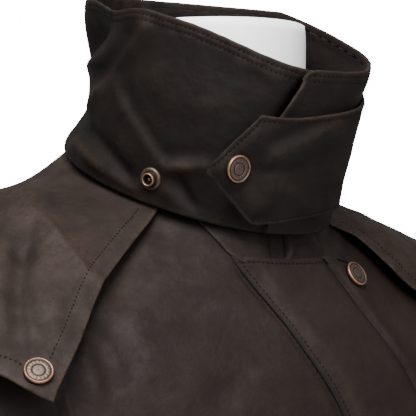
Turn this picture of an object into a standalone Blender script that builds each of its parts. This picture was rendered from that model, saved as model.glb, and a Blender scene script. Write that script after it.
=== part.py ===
"""Duster coat of waxed cotton on a limbless dress form. The coat has fronts, a back, sleeves, a shoulder
cape, a stand-up collar closed by a throat tab, and a storm flap with snap fasteners. The wearer's front
faces -Y, the wearer's left is +X, and the base of the form rests on z = 0."""

import math

import bmesh
import bpy
import numpy as np
from mathutils import Vector
from mathutils.bvhtree import BVHTree

# Driving dimensions, in metres.
WALL = 0.0018  # one layer of waxed cloth, with its turned edges
COLLAR_WALL = 0.0026  # two layers and their stiffening
LAYER = WALL + 0.0012  # from one layer's outer face to the next one's
SEAM = 0.0018  # half of the gap at a long seam, in radians round the body
NECK_Z = 1.456  # neck seam at NECK_Y
NECK_Y = -0.02
NECK_TILT = 0.35  # the neck seam drops towards the front
NECK_X = -0.008  # the coat sits a little towards the wearer's right
SLEEVE_GAP = 0.009  # sleeve head inside the armhole, as a part of the armhole's height
SLEEVE_EASE = 0.004  # and in its width, in radians round the body
SNAP_RADIUS = 0.0076
SNAP_HEIGHT = 0.0034
POST_RADIUS = 0.0064  # the bare half of a snap
POST_HEIGHT = 0.0042
SNAP_CLEAR = 0.0004  # under a cap, over the highest cloth below its rim
FRONT_SNAP_Z = (1.3955, 1.245, 1.095, 0.945, 0.795, 0.645)
BASE_RADIUS = 0.19
BASE_HEIGHT = 0.022
POLE_RADIUS = 0.0125
FORM_BOTTOM = 0.86
NECK_TOP = 1.5485
JOIN_GAP = 0.0004


def neck_plane(y):
    return NECK_Z + NECK_TILT * (y - NECK_Y)


# Rings of the coat's body, hem to neck. Columns: half width, height at the side, front depth, height at
# the front, back depth, height at the back, power of the superellipse, centre y, power of the change of
# height round the ring (1 makes a flat, tilted ring), centre x.
BODY_RINGS = (
    (0.318, 0.235, 0.240, 0.235, 0.222, 0.235, 2.10, 0.000, 2.0, 0.000),
    (0.282, 0.500, 0.212, 0.500, 0.192, 0.500, 2.10, 0.000, 2.0, 0.000),
    (0.246, 0.780, 0.184, 0.780, 0.160, 0.780, 2.15, 0.000, 2.0, 0.000),
    (0.222, 1.000, 0.163, 1.000, 0.135, 1.000, 2.20, 0.000, 2.0, 0.000),
    (0.228, 1.200, 0.158, 1.200, 0.132, 1.200, 2.20, 0.000, 2.0, 0.000),
    (0.234, 1.320, 0.154, 1.290, 0.130, 1.310, 2.20, 0.000, 2.0, 0.000),
    (0.213, 1.388, 0.142, 1.345, 0.112, 1.378, 2.15, -0.003, 2.0, 0.000),
    (0.144, 1.421, 0.113, 1.386, 0.082, 1.431, 2.10, -0.014, 1.5, -0.002),
    (0.0685, neck_plane(-0.030) - 0.001, 0.082, neck_plane(-0.112) - 0.001,
     0.082, neck_plane(0.052) - 0.001, 2.10, -0.030, 1.0, NECK_X),
    (0.0675, neck_plane(-0.030) + 0.006, 0.081, neck_plane(-0.111) + 0.006,
     0.081, neck_plane(0.051) + 0.006, 2.10, -0.030, 1.0, NECK_X),
)
ARMPIT, ARMHOLE_MIDDLE, SHOULDER, SEAM_ROW, NECK = 4.0, 5.0, 6.0, 8.0, 9.0  # rows of BODY_RINGS
ARMHOLE_HALF_ANGLE = 0.43
CAPE_PUFF = 0.012  # the cape stands up off the wearer's right shoulder

# Rings of the cape, neck to hem, in the same columns.
CAPE_RINGS = (
    (0.0705, neck_plane(-0.030) + 0.006, 0.084, neck_plane(-0.114) + 0.006,
     0.084, neck_plane(0.054) + 0.006, 2.10, -0.030, 1.0, NECK_X),
    (0.0720, neck_plane(-0.030) + 0.0018, 0.0855, neck_plane(-0.1155) + 0.0018,
     0.0855, neck_plane(0.0555) + 0.0018, 2.10, -0.030, 1.0, NECK_X),
    (0.148, 1.4270, 0.121, 1.390, 0.090, 1.4360, 2.10, -0.014, 1.5, -0.002),
    (0.226, 1.3960, 0.156, 1.352, 0.128, 1.384, 2.15, -0.003, 2.0, 0.000),
    (0.292, 1.3550, 0.176, 1.308, 0.150, 1.312, 2.15, 0.000, 2.0, 0.000),
    (0.330, 1.2850, 0.190, 1.245, 0.166, 1.200, 2.15, 0.000, 2.0, 0.000),
)
# The cape's front edges. Columns: part of the way to the hem, angle from the front in degrees. The part
# is -1 at the top of the edge turned up inside the collar, and 0 at the seam.
CAPE_EDGE_RIGHT = (
    (-1.0, 58.0), (0.0, 57.5), (0.15, 52.0), (0.31, 47.5), (0.50, 44.0), (0.75, 39.5), (1.0, 37.5),
)
CAPE_EDGE_LEFT = (
    (-1.0, 37.0), (0.0, 36.5), (0.12, 34.5), (0.36, 28.8), (0.50, 29.5), (0.75, 31.0), (1.0, 32.0),
)
# The cape's hem. Columns: angle from the front in degrees, row of CAPE_RINGS.
CAPE_HEM = ((30.0, 3.72), (38.0, 3.69), (46.0, 3.53), (62.0, 3.60), (90.0, 4.20), (135.0, 4.75), (180.0, 5.0))

# Sleeve rings. Columns: inner x and z, outer x and z, half depth, centre y, share of the armhole's curve.
SLEEVE_RINGS = (
    (0.2285, 1.203, 0.214, 1.389, 0.068, 0.000, 1.0),
    (0.2430, 1.183, 0.256, 1.366, 0.073, -0.002, 0.45),
    (0.2500, 1.150, 0.287, 1.318, 0.076, -0.004, 0.1),
    (0.2540, 1.100, 0.305, 1.245, 0.077, -0.006, 0.0),
    (0.2620, 1.040, 0.324, 1.150, 0.074, -0.010, 0.0),
    (0.2820, 0.950, 0.355, 1.010, 0.069, -0.020, 0.0),
    (0.3020, 0.860, 0.383, 0.895, 0.066, -0.036, 0.0),
    (0.3170, 0.790, 0.402, 0.808, 0.066, -0.050, 0.0),
)

# Collar: centre x and y, half width and half depth of its seam and of its rim.
COLLAR_SEAM = (-0.0085, -0.030, 0.0780, 0.0905)
COLLAR_RIM = (-0.0055, -0.055, 0.0755, 0.0970)
COLLAR_CLEAR = 0.0016  # the collar's lower edge stands above the neck seam
COLLAR_RIM_Z = 1.559  # at NECK_Y
COLLAR_START = 10.0  # degrees: the end underneath, on the wearer's left of the middle
COLLAR_END = -374.0  # the end on top, once round by the wearer's right
COLLAR_LAP = 0.0052  # how far the end on top stands out
COLLAR_SIDE_RISE = 0.011  # the rim on the wearer's right stands above the plane of the rest

TAB_TIP, TAB_HIGH_CORNER, TAB_LOW_CORNER, TAB_END = -39.5, -27.0, -22.0, 88.0  # degrees round the collar
TAB_TIP_HEIGHT = 0.29
# The tab's lower and upper edges. Columns: degrees round the collar, part of the collar's height.
TAB_LOW = ((-40.0, 0.02), (-23.0, 0.03), (0.0, 0.10), (50.0, 0.15), (90.0, 0.15))
TAB_HIGH = ((-40.0, 0.64), (-28.0, 0.655), (0.0, 0.74), (50.0, 0.81), (90.0, 0.81))
TAB_WALL = 0.0026

FLAP_TOP_Z = 1.4080
FLAP_WIDTH = 0.062
# The flap's free edge. Columns: height, x.
FLAP_EDGE = ((0.23, 0.012), (1.10, 0.018), (1.27, 0.020), (1.33, 0.0015), (1.38, -0.0275), (1.45, -0.071))
FRONT_LAP = 0.014  # from the flap's free edge to the edge of the left front under it
# Where the right front ends under the left one. Columns: height, x.
UNDERLAP_EDGE = ((0.23, 0.060), (1.10, 0.062), (1.30, 0.060), (1.38, 0.035), (1.45, 0.006))

# Rings of the form below and above the shoulders, in the columns of BODY_RINGS. Between them the form
# carries the coat, so its surface is the body's own, moved in.
FORM_CLEAR = WALL + 0.0012
FORM_TRUNK = (
    (0.158, FORM_BOTTOM, 0.105, FORM_BOTTOM, 0.105, FORM_BOTTOM, 2.1, 0.000, 2.0, 0.000),
    (0.166, FORM_BOTTOM + 0.006, 0.112, FORM_BOTTOM + 0.006,
     0.112, FORM_BOTTOM + 0.006, 2.1, 0.000, 2.0, 0.000),
    (0.168, 0.93, 0.115, 0.93, 0.116, 0.93, 2.1, 0.000, 2.0, 0.000),
    (0.152, 1.06, 0.108, 1.06, 0.098, 1.06, 2.1, 0.000, 2.0, 0.000),
    (0.176, 1.21, 0.122, 1.21, 0.108, 1.21, 2.1, 0.000, 2.0, 0.000),
    (0.186, 1.31, 0.124, 1.28, 0.110, 1.30, 2.1, 0.000, 2.0, 0.000),
    (0.186, 1.358, 0.122, 1.326, 0.102, 1.355, 2.1, -0.003, 2.0, 0.000),
)
FORM_SHOULDER = (6.42, 6.65, 6.9, 7.2, 7.5)  # rows of BODY_RINGS
FORM_NECK = (
    (0.0635, neck_plane(-0.030) - 0.0065, 0.0765, neck_plane(-0.1065) - 0.0065,
     0.0765, neck_plane(0.0465) - 0.0065, 2.1, -0.030, 1.0, NECK_X),
    (0.0600, 1.460, 0.068, 1.436, 0.066, 1.482, 2.0, -0.030, 1.0, -0.005),
    (0.0570, 1.485, 0.060, 1.470, 0.058, 1.500, 2.0, -0.031, 1.0, -0.001),
    (0.0570, NECK_TOP - 0.004, 0.058, NECK_TOP - 0.004, 0.056, NECK_TOP - 0.004, 2.0, -0.032, 1.0, 0.000),
    (0.0535, NECK_TOP, 0.0545, NECK_TOP, 0.0525, NECK_TOP, 2.0, -0.032, 1.0, 0.000),
)

# Profiles of turned pieces, top to bottom on the outer side. Columns: part of the radius, part of the height.
SNAP_PROFILE = (
    (0.0, 0.80), (0.52, 0.76), (0.60, 0.62), (0.68, 0.72), (0.84, 1.0), (1.0, 0.52), (0.96, 0.0), (0.0, 0.0),
)
POST_PROFILE = (
    (0.0, 0.30), (0.30, 0.30), (0.36, 1.0), (0.55, 1.0), (0.62, 0.45), (1.0, 0.30), (0.97, 0.0), (0.0, 0.0),
)
BASE_PROFILE = ((0.0, 1.0), (0.10, 1.0), (0.50, 0.78), (0.93, 0.42), (1.0, 0.20), (0.985, 0.0), (0.0, 0.0))


# Curves and surfaces. Angles run from the front (-Y), positive towards the wearer's left (+X).


def spline(rows, s):
    """Smooth values at s, a place counted in rows, by cubics through the rows."""
    rows = np.asarray(rows, float)
    s = np.asarray(s, float)
    k = np.clip(np.floor(s).astype(int), 0, len(rows) - 2)
    slopes = np.gradient(rows, axis=0)
    t = (s - k)[..., None]
    a, b = rows[k], rows[k + 1]
    t2, t3 = t * t, t * t * t
    from_a = (2 * t3 - 3 * t2 + 1) * a + (t3 - 2 * t2 + t) * slopes[k]
    from_b = (3 * t2 - 2 * t3) * b + (t3 - t2) * slopes[k + 1]
    return from_a + from_b


def lookup(pairs, at):
    """The second column at each value of the first, by smooth steps between the pairs."""
    first, second = np.array(pairs, float).T
    k = np.clip(np.searchsorted(first, at) - 1, 0, len(first) - 2)
    t = np.clip((at - first[k]) / (first[k + 1] - first[k]), 0, 1)
    slopes = np.gradient(second, first)
    step = first[k + 1] - first[k]
    t2, t3 = t * t, t * t * t
    return (
        (2 * t3 - 3 * t2 + 1) * second[k]
        + (t3 - 2 * t2 + t) * step * slopes[k]
        + (3 * t2 - 2 * t3) * second[k + 1]
        + (t3 - t2) * step * slopes[k + 1]
    )


def bump(value, centre, width):
    return np.exp(-(((value - centre) / width) ** 2))


def step(value, start, end):
    t = np.clip((value - start) / (end - start), 0, 1)
    return t * t * (3 - 2 * t)


def ring_points(rings, s, angle):
    """Points of a stack of superellipse rings at row s and an angle in radians."""
    s, angle = np.broadcast_arrays(np.asarray(s, float), np.asarray(angle, float))
    row = spline(rings, s)
    width, side_z, front, front_z, back, back_z, power, centre, lean, centre_x = np.moveaxis(row, -1, 0)
    sine, cosine = np.sin(angle), np.cos(angle)
    bend = 2 / power
    x = centre_x + width * np.sign(sine) * np.abs(sine) ** bend
    depth = np.where(cosine >= 0, front, back)
    y = centre - depth * np.sign(cosine) * np.abs(cosine) ** bend
    z = side_z + (np.where(cosine >= 0, front_z, back_z) - side_z) * np.abs(cosine) ** lean
    return np.stack([x, y, z], -1)


def normals_of(points):
    """Unit normals of a grid of points, facing the side where its rows cross its columns."""
    across = np.gradient(points, axis=1)
    along = np.gradient(points, axis=0)
    normal = np.cross(across, along)
    return normal / np.linalg.norm(normal, axis=-1, keepdims=True)


def body_folds(angle, s):
    """How far the skirt's folds move the body out. They fade out at the chest and near the front edges."""
    low = np.clip(1 - s / 4.2, 0, 1)
    clear = step(np.abs(angle), 0.25, 0.7)
    wave = np.cos(7 * angle + 0.5 * np.sin(2 * angle + 0.4)) + 0.35 * np.sin(11 * angle + 1.1)
    return 0.013 * low * clear * wave


def body_points(s, angle):
    points = ring_points(BODY_RINGS, s, angle)
    out = body_folds(np.broadcast_to(angle, points.shape[:-1]), np.broadcast_to(s, points.shape[:-1]))
    points[..., 0] += out * np.sin(angle)
    points[..., 1] -= out * np.cos(angle)
    return points


def angle_at_x(x, s):
    """The angle on the front of the body at which it has this x."""
    row = spline(BODY_RINGS, s)
    part = np.clip((x - row[..., 9]) / row[..., 0], -1, 1)
    return np.arcsin(np.sign(part) * np.abs(part) ** (row[..., 6] / 2))


def front_height(s):
    return spline(BODY_RINGS, s)[..., 3]


def outward(points):
    """Unit normals of a grid that closes on itself along its rows, facing away from the middle."""
    across = np.roll(points, -1, axis=1) - np.roll(points, 1, axis=1)
    along = np.gradient(points, axis=0)
    normal = np.cross(across, along)
    return normal / np.linalg.norm(normal, axis=-1, keepdims=True)


def raised(points, out):
    return points + normals_of(points) * np.asarray(out)[..., None]


def armhole_angle(s):
    """Half the armhole's opening at row s, as an angle from the side, with the seam's gap."""
    part = np.clip(1 - ((s - ARMHOLE_MIDDLE) / (SHOULDER - ARMHOLE_MIDDLE)) ** 2, 0, 1)
    return SEAM + ARMHOLE_HALF_ANGLE * np.sqrt(part)


def body_rows():
    skirt = np.linspace(0, ARMPIT, 12)[:-1]
    armhole = ARMHOLE_MIDDLE - np.cos(np.linspace(0, math.pi, 11))
    shoulder = np.linspace(SHOULDER, SEAM_ROW, 6)[1:]
    return np.concatenate([skirt, armhole, shoulder, [NECK]])


def front_panel(side, columns=11):
    """The front at one side: -1 is the wearer's right, 1 the left. The left front lies on the right one."""
    s = body_rows()
    height = front_height(s)
    if side < 0:
        start = angle_at_x(lookup(UNDERLAP_EDGE, height), s)
    else:
        start = angle_at_x(lookup(FLAP_EDGE, height) + FRONT_LAP, s)
    end = side * (math.pi / 2 - armhole_angle(s))
    part = np.linspace(0, 1, columns + 1)[None, :] ** 1.15
    angle = start[:, None] + (end - start)[:, None] * part
    points = body_points(s[:, None], angle)
    if side < 0:
        points = points[:, ::-1]
        return points
    past = points[..., 0] - lookup(UNDERLAP_EDGE, height)[:, None]
    lift = LAYER * (1 - step(past, 0.004, 0.024))
    return raised(points, lift)


def back_panel(columns=18):
    s = body_rows()
    edge = math.pi / 2 + armhole_angle(s)
    part = np.linspace(0, 1, columns + 1)[None, :]
    angle = edge[:, None] + (2 * math.pi - 2 * edge)[:, None] * part
    return body_points(s[:, None], angle)


def sleeve(side, around=20, rows=17):
    """A tube from the armhole's curve to the cuff, its rings spanned between an inner and an outer line."""
    turn = np.linspace(0, 2 * math.pi, around, endpoint=False)
    shrink = 1 - SLEEVE_GAP
    s = ARMHOLE_MIDDLE + shrink * np.sin(turn)
    angle = math.pi / 2 - (ARMHOLE_HALF_ANGLE - SLEEVE_EASE) * np.cos(turn)
    root = body_points(s, angle)
    at = np.linspace(0, len(SLEEVE_RINGS) - 1, rows)
    columns = np.moveaxis(spline(SLEEVE_RINGS, at), -1, 0)[..., None]
    inner_x, inner_z, outer_x, outer_z, depth, centre, share = columns
    up = np.sin(turn)
    free = np.stack(
        [
            (inner_x + outer_x) / 2 + (outer_x - inner_x) / 2 * up,
            centre - depth * np.cos(turn),
            (inner_z + outer_z) / 2 + (outer_z - inner_z) / 2 * up,
        ],
        -1,
    )
    share = np.clip(share, 0, 1)[..., None]
    shift = free.mean(axis=1, keepdims=True) - free[:1].mean(axis=1, keepdims=True)
    points = share * (root[None] + shift) + (1 - share) * free
    points[0] = root
    if side < 0:
        points[..., 0] *= -1
        points = points[:, ::-1]
    return points


def cape_points(part, angle):
    """The cape at a part of the way from neck to hem, and an angle from the front, either side."""
    around = np.degrees(np.abs(angle))
    row = 1 + np.where(part < 0, part, part * (lookup(CAPE_HEM, around) - 1))
    points = ring_points(CAPE_RINGS, row, angle)
    over_shoulder = bump(points[..., 0], -0.135, 0.045) * bump(points[..., 1], 0.0, 0.11)
    points[..., 2] += CAPE_PUFF * step(part, 0, 0.25) * over_shoulder
    return points


def cape(columns=36, rows=9):
    part = np.concatenate([[-1.0], np.linspace(0, 1, rows + 1)])[:, None]
    left = np.radians(lookup(CAPE_EDGE_LEFT, part))
    right = 2 * math.pi - np.radians(lookup(CAPE_EDGE_RIGHT, part))
    angle = left + (right - left) * np.linspace(0, 1, columns + 1)[None, :]
    return cape_points(part, np.where(angle > math.pi, angle - 2 * math.pi, angle))


def collar_points(angle, height, lap=0.0):
    """The collar's outer face at an angle in degrees and a part of its height, moved out by lap."""
    angle, height = np.broadcast_arrays(np.asarray(angle, float), np.asarray(height, float))
    sine, cosine = np.sin(np.radians(angle)), np.cos(np.radians(angle))
    x0, y0, w0, d0 = COLLAR_SEAM
    x1, y1, w1, d1 = COLLAR_RIM
    seam_y = y0 - d0 * cosine
    rim_y = y1 - d1 * cosine
    seam_z = neck_plane(seam_y) + COLLAR_CLEAR + 0.0022 * sine**2
    near = (angle + 180) % 360 - 180
    rise = COLLAR_SIDE_RISE * step(-near, 8, 60) * (1 - step(-near, 72, 100))
    ahead = np.minimum(rim_y - NECK_Y, 0)
    behind = np.maximum(rim_y - NECK_Y, 0)
    rim_z = COLLAR_RIM_Z + 0.36 * ahead + 0.15 * behind + rise
    waist_left = 0.011 * step(height, 0.03, 0.35) * step(near, 5, 50) * (1 - step(near, 90, 150))
    waist_back = 0.009 * step(height, 0.02, 0.25) * step(-near, 75, 125)
    full = 0.003 * np.sin(math.pi * height) - (waist_left + waist_back) * (1 - step(height, 0.5, 1.0))
    fold_at = lookup(((0.3, -135.0), (0.45, -128.0), (0.7, -96.0), (1.0, -76.0)), height)
    ridge = 0.004 * bump(near, fold_at, 13) * step(near, -135, -105) * step(height, 0.25, 0.6)
    valley = -0.009 * bump(near, fold_at - 22, 12) * step(height, 0.40, 0.8) * step(near, -132, -112)
    out = full + ridge + valley + lap
    x = (x0 + w0 * sine) * (1 - height) + (x1 + w1 * sine) * height + out * sine
    y = seam_y * (1 - height) + rim_y * height - out * cosine
    z = seam_z * (1 - height) + rim_z * height
    return np.stack([x, y, z], -1)


def collar(columns=44, rows=7):
    angle = np.linspace(COLLAR_START, COLLAR_END, columns + 1)[None, :]
    height = np.linspace(0, 1, rows + 1)[:, None]
    lap = COLLAR_LAP * step(-angle, 318, 352)
    return collar_points(angle, height, lap)[:, ::-1]


def tapered(angle, corner):
    """The tab's share of its full height, from its blunt tip to a corner."""
    return 0.06 + 0.94 * np.clip((angle - TAB_TIP) / (corner - TAB_TIP), 0, 1)


def throat_tab(columns=18, rows=4):
    """A strap over the collar's closing edge, cut to a blunt point on the wearer's right."""
    corners = np.array([TAB_TIP, -33.0, TAB_HIGH_CORNER, TAB_LOW_CORNER])
    angle = np.concatenate([corners, np.linspace(TAB_LOW_CORNER, TAB_END, columns - 2)[1:]])
    low = TAB_TIP_HEIGHT + (lookup(TAB_LOW, angle) - TAB_TIP_HEIGHT) * tapered(angle, TAB_LOW_CORNER)
    high = TAB_TIP_HEIGHT + (lookup(TAB_HIGH, angle) - TAB_TIP_HEIGHT) * tapered(angle, TAB_HIGH_CORNER)
    height = low + (high - low) * np.linspace(0, 1, rows + 1)[:, None]
    over_lap = COLLAR_LAP * (1 - step(angle, 8, 42))
    return collar_points(angle, height, over_lap + TAB_WALL + 0.0012 + 0.0015 * step(-angle, 10, 40))


def flap_rows():
    rows = body_rows()
    height = front_height(rows)
    top = np.interp(FLAP_TOP_Z, height, rows)
    return np.concatenate([rows[rows < top - 0.05], [top]])


def storm_flap(columns=4):
    s = flap_rows()
    s[0] = 0.03
    edge = lookup(FLAP_EDGE, front_height(s))
    x = edge[:, None] + FLAP_WIDTH * np.linspace(0, 1, columns + 1)[None, :]
    return raised(body_points(s[:, None], angle_at_x(x, s[:, None])), np.full(x.shape, 2 * LAYER))


# Making the objects.


def principled(name, colour, roughness, metallic=0.0):
    made = bpy.data.materials.new(name)
    made.use_nodes = True
    shader = made.node_tree.nodes["Principled BSDF"]
    shader.inputs["Base Color"].default_value = (*colour, 1)
    shader.inputs["Roughness"].default_value = roughness
    shader.inputs["Metallic"].default_value = metallic
    made.diffuse_color = (*colour, 1)
    return made


def link(name, mesh, made, collection):
    obj = bpy.data.objects.new(name, mesh)
    mesh.materials.append(made)
    for polygon in mesh.polygons:
        polygon.use_smooth = True
    collection.objects.link(obj)
    return obj


def sheet(name, points, wall, made, collection, closed=False):
    """Cloth: a grid of points on its outer face, thickened inwards. closed joins its two side edges."""
    middle = points.mean(axis=1, keepdims=True) if closed else np.zeros(3)
    if ((points - middle)[..., :2] * normals_of(points)[..., :2]).sum() < 0:
        points = points[::-1]
    rows, columns = points.shape[:2]
    mesh = bpy.data.meshes.new(name)
    faces = []
    for i in range(rows - 1):
        for j in range(columns if closed else columns - 1):
            k = (j + 1) % columns
            faces.append((i * columns + j, i * columns + k, (i + 1) * columns + k, (i + 1) * columns + j))
    mesh.from_pydata(points.reshape(-1, 3).tolist(), [], faces)
    mesh.update()
    obj = link(name, mesh, made, collection)
    solidify = obj.modifiers.new("wall", "SOLIDIFY")
    solidify.thickness = wall
    solidify.offset = -1
    return obj


def loft(name, rings, made, collection):
    """A closed solid through rings of points, with a flat face at each end."""
    bm = bmesh.new()
    loops = [[bm.verts.new(point) for point in ring] for ring in rings.tolist()]
    count = len(loops[0])
    for below, above in zip(loops, loops[1:]):
        for j in range(count):
            k = (j + 1) % count
            bm.faces.new((below[j], below[k], above[k], above[j]))
    bm.faces.new(loops[0][::-1])
    bm.faces.new(loops[-1])
    mesh = bpy.data.meshes.new(name)
    bm.to_mesh(mesh)
    bm.free()
    return link(name, mesh, made, collection)


def turned(name, profile, radius, height, steps, made, collection):
    """A turned solid: its profile, top to bottom on the outer side, swept round Z."""
    mesh = bpy.data.meshes.new(name)
    points = [(r * radius, 0.0, h * height) for r, h in profile]
    mesh.from_pydata(points, [(i, i + 1) for i in range(len(points) - 1)], [])
    obj = link(name, mesh, made, collection)
    screw = obj.modifiers.new("turn", "SCREW")
    screw.steps = screw.render_steps = steps
    screw.use_merge_vertices = True
    screw.merge_threshold = 0.00005
    screw.use_normal_calculate = True
    return obj


def seat(piece, radius, cloth, point, normal):
    """Sets a turned piece on cloth, its axis along the normal, just clear of the highest cloth under it."""
    tree = BVHTree.FromPolygons(
        [vertex.co for vertex in cloth.data.vertices],
        [polygon.vertices for polygon in cloth.data.polygons],
    )
    normal = Vector(normal).normalized()
    turn = normal.to_track_quat("Z", "Y")
    level = []
    for part in (0.0, 0.5, 1.0):
        for k in range(12):
            angle = math.pi * k / 6
            side = turn @ Vector((math.cos(angle), math.sin(angle), 0)) * radius * part
            hit = tree.ray_cast(Vector(point) + side + 0.03 * normal, -normal)[0]
            level.append((hit - Vector(point)).dot(normal))
    piece.location = Vector(point) + normal * (max(level) + SNAP_CLEAR)
    piece.rotation_mode = "QUATERNION"
    piece.rotation_quaternion = turn


def spot(function, first, second, reach):
    """The point and normal of a surface given by a function of two values, from points either side."""
    either_side = reach * np.array([-1.0, 0.0, 1.0])
    grid = function(first + either_side[:, None], second + either_side[None, :])
    return grid[1, 1], normals_of(grid)[1, 1]


for old in list(bpy.data.objects):
    bpy.data.objects.remove(old)
for old in list(bpy.data.collections):
    bpy.data.collections.remove(old)
coat = bpy.data.collections.new("duster_coat")
bpy.context.scene.collection.children.link(coat)

CLOTH = principled("waxed_cloth", (0.032, 0.021, 0.017), 0.55)
CAPE_CLOTH = principled("waxed_cape_cloth", (0.046, 0.033, 0.028), 0.52)
COLLAR_CLOTH = principled("waxed_collar_cloth", (0.022, 0.015, 0.012), 0.58)
METAL = principled("antique_copper", (0.26, 0.15, 0.10), 0.42, 0.9)
FORM = principled("form_cover", (0.86, 0.86, 0.85), 0.7)
STAND = principled("stand_paint", (0.55, 0.55, 0.55), 0.45, 0.4)

sheet("front_right", front_panel(-1), WALL, CLOTH, coat)
left = sheet("front_left", front_panel(1), WALL, CLOTH, coat)
sheet("back", back_panel(), WALL, CLOTH, coat)
sheet("sleeve_right", sleeve(-1), WALL, CLOTH, coat, closed=True)
sheet("sleeve_left", sleeve(1), WALL, CLOTH, coat, closed=True)
shoulder_cape = sheet("cape", cape(), WALL, CAPE_CLOTH, coat)
stand_collar = sheet("collar", collar(), COLLAR_WALL, COLLAR_CLOTH, coat)
tab = sheet("throat_tab", throat_tab(), TAB_WALL, COLLAR_CLOTH, coat)
sheet("storm_flap", storm_flap(), WALL, CLOTH, coat)

# The snap that closes the tab sits near its tip, on its middle line.
tab_grid = throat_tab()
tab_normals = normals_of(tab_grid)
cap = turned("throat_snap_cap", SNAP_PROFILE, SNAP_RADIUS, SNAP_HEIGHT, 14, METAL, coat)
seat(cap, SNAP_RADIUS, tab, (tab_grid[2, 1] + tab_grid[2, 2]) / 2, tab_normals[2, 2])

# The bare half of a second throat snap sits beside the tab, on the collar itself.
point, normal = spot(lambda a, v: collar_points(a * 100, v), -0.595, 0.14, 0.02)
normal = normal * math.copysign(1, -normal[1])
post = turned("collar_snap_post", POST_PROFILE, POST_RADIUS, POST_HEIGHT, 14, METAL, coat)
seat(post, POST_RADIUS, stand_collar, point, normal)

# A snap holds down each front corner of the cape.
for side, corner, name in ((-1, 41.5, "cape_snap_cap_right"), (1, 36.5, "cape_snap_cap_left")):
    point, normal = spot(cape_points, 0.935, side * math.radians(corner), 0.01)
    normal = normal * math.copysign(1, -normal[1])
    cap = turned(name, SNAP_PROFILE, SNAP_RADIUS, SNAP_HEIGHT, 14, METAL, coat)
    seat(cap, SNAP_RADIUS, shoulder_cape, point, normal)

# The front's snaps run down the left front, beside the seam of the storm flap.
heights = np.array(FRONT_SNAP_Z)
rows = body_rows()
for number, height in enumerate(heights, 1):
    s = np.interp(height, front_height(rows), rows)
    x = lookup(FLAP_EDGE, height) + FLAP_WIDTH + 0.012
    angle = angle_at_x(x, s)
    point, normal = spot(body_points, s, angle, 0.01)
    normal = normal * math.copysign(1, -normal[1])
    cap = turned(f"front_snap_cap_{number}", SNAP_PROFILE, SNAP_RADIUS, SNAP_HEIGHT, 14, METAL, coat)
    seat(cap, SNAP_RADIUS, left, point, normal)

# The form, its pole and its base.
turn = np.linspace(-math.pi, math.pi, 40, endpoint=False)[None, :]
trunk_rows = np.array([0, 1, 2, 2.5, 3, 3.5, 4, 4.5, 5, 6])
carried = body_points(np.array(FORM_SHOULDER)[:, None], turn)
carried = carried - FORM_CLEAR * outward(carried)
trunk = ring_points(FORM_TRUNK, trunk_rows[:, None], turn)
neck = ring_points(FORM_NECK, np.arange(5.0)[:, None], turn)
loft("form_torso", np.concatenate([trunk, carried, neck]), FORM, coat)

pole_bottom = BASE_HEIGHT + JOIN_GAP
pole_top = FORM_BOTTOM - JOIN_GAP
bpy.ops.mesh.primitive_cylinder_add(
    vertices=20,
    radius=POLE_RADIUS,
    depth=pole_top - pole_bottom,
    location=(0, 0, (pole_top + pole_bottom) / 2),
)
pole = bpy.context.object
pole.name = "form_pole"
pole.data.materials.append(STAND)
for polygon in pole.data.polygons:
    polygon.use_smooth = len(polygon.vertices) == 4
for other in list(pole.users_collection):
    other.objects.unlink(pole)
coat.objects.link(pole)

turned("form_base", BASE_PROFILE, BASE_RADIUS, BASE_HEIGHT, 36, STAND, coat)
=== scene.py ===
# %% [markdown]
# # A waxed duster coat with a shoulder cape
# The coat is worn by a dress form with no head or limbs. Its collar stands up and a throat tab closes it.
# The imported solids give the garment's true shape. This script covers them with cloth: finer surfaces from
# the same formulas, with creases, turned hems, stitching, snap fasteners and waxed-cotton finishes.

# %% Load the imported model
import math

import bpy
import numpy as np
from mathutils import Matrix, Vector


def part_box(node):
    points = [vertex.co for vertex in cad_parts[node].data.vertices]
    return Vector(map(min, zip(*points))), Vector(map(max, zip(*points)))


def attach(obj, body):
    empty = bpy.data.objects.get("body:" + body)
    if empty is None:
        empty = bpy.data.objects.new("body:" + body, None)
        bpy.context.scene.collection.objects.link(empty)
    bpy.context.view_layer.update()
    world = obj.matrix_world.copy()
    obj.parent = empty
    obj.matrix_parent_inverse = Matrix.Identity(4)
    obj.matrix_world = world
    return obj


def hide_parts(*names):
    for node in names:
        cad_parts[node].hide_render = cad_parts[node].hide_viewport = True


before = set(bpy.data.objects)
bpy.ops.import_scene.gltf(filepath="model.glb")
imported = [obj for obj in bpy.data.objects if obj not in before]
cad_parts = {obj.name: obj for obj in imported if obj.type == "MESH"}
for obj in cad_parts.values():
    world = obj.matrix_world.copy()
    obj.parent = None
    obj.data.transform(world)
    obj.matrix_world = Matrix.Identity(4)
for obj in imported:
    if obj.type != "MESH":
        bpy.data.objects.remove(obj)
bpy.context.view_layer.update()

# %% [markdown]
# ## The camera
# The picture was taken level with the collar, a metre away, from the wearer's right. A pinhole camera needs
# four numbers for that: its azimuth, its distance, its height and its focal length in pixels of the picture.
# The same numbers also tell where a point of the coat lands in the picture, so that a crease that is seen
# there can be pressed into the cloth at the right place.

# %% Place the camera
PICTURE_SIDE = 416  # pixels
FOCAL_LENGTH = 1696.0  # pixels
SENSOR = 36.0  # mm
AZIMUTH = math.radians(-36)
DISTANCE = 1.05
EYE_HEIGHT = 1.4376
ASIDE = 0.01734  # the middle of the picture lies this far to the right of the pole

towards_eye = np.array([math.sin(AZIMUTH), -math.cos(AZIMUTH), 0.0])
rightwards = np.array([math.cos(AZIMUTH), math.sin(AZIMUTH), 0.0])
eye = np.array([0.0, 0.0, EYE_HEIGHT]) + ASIDE * rightwards + DISTANCE * towards_eye

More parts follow.
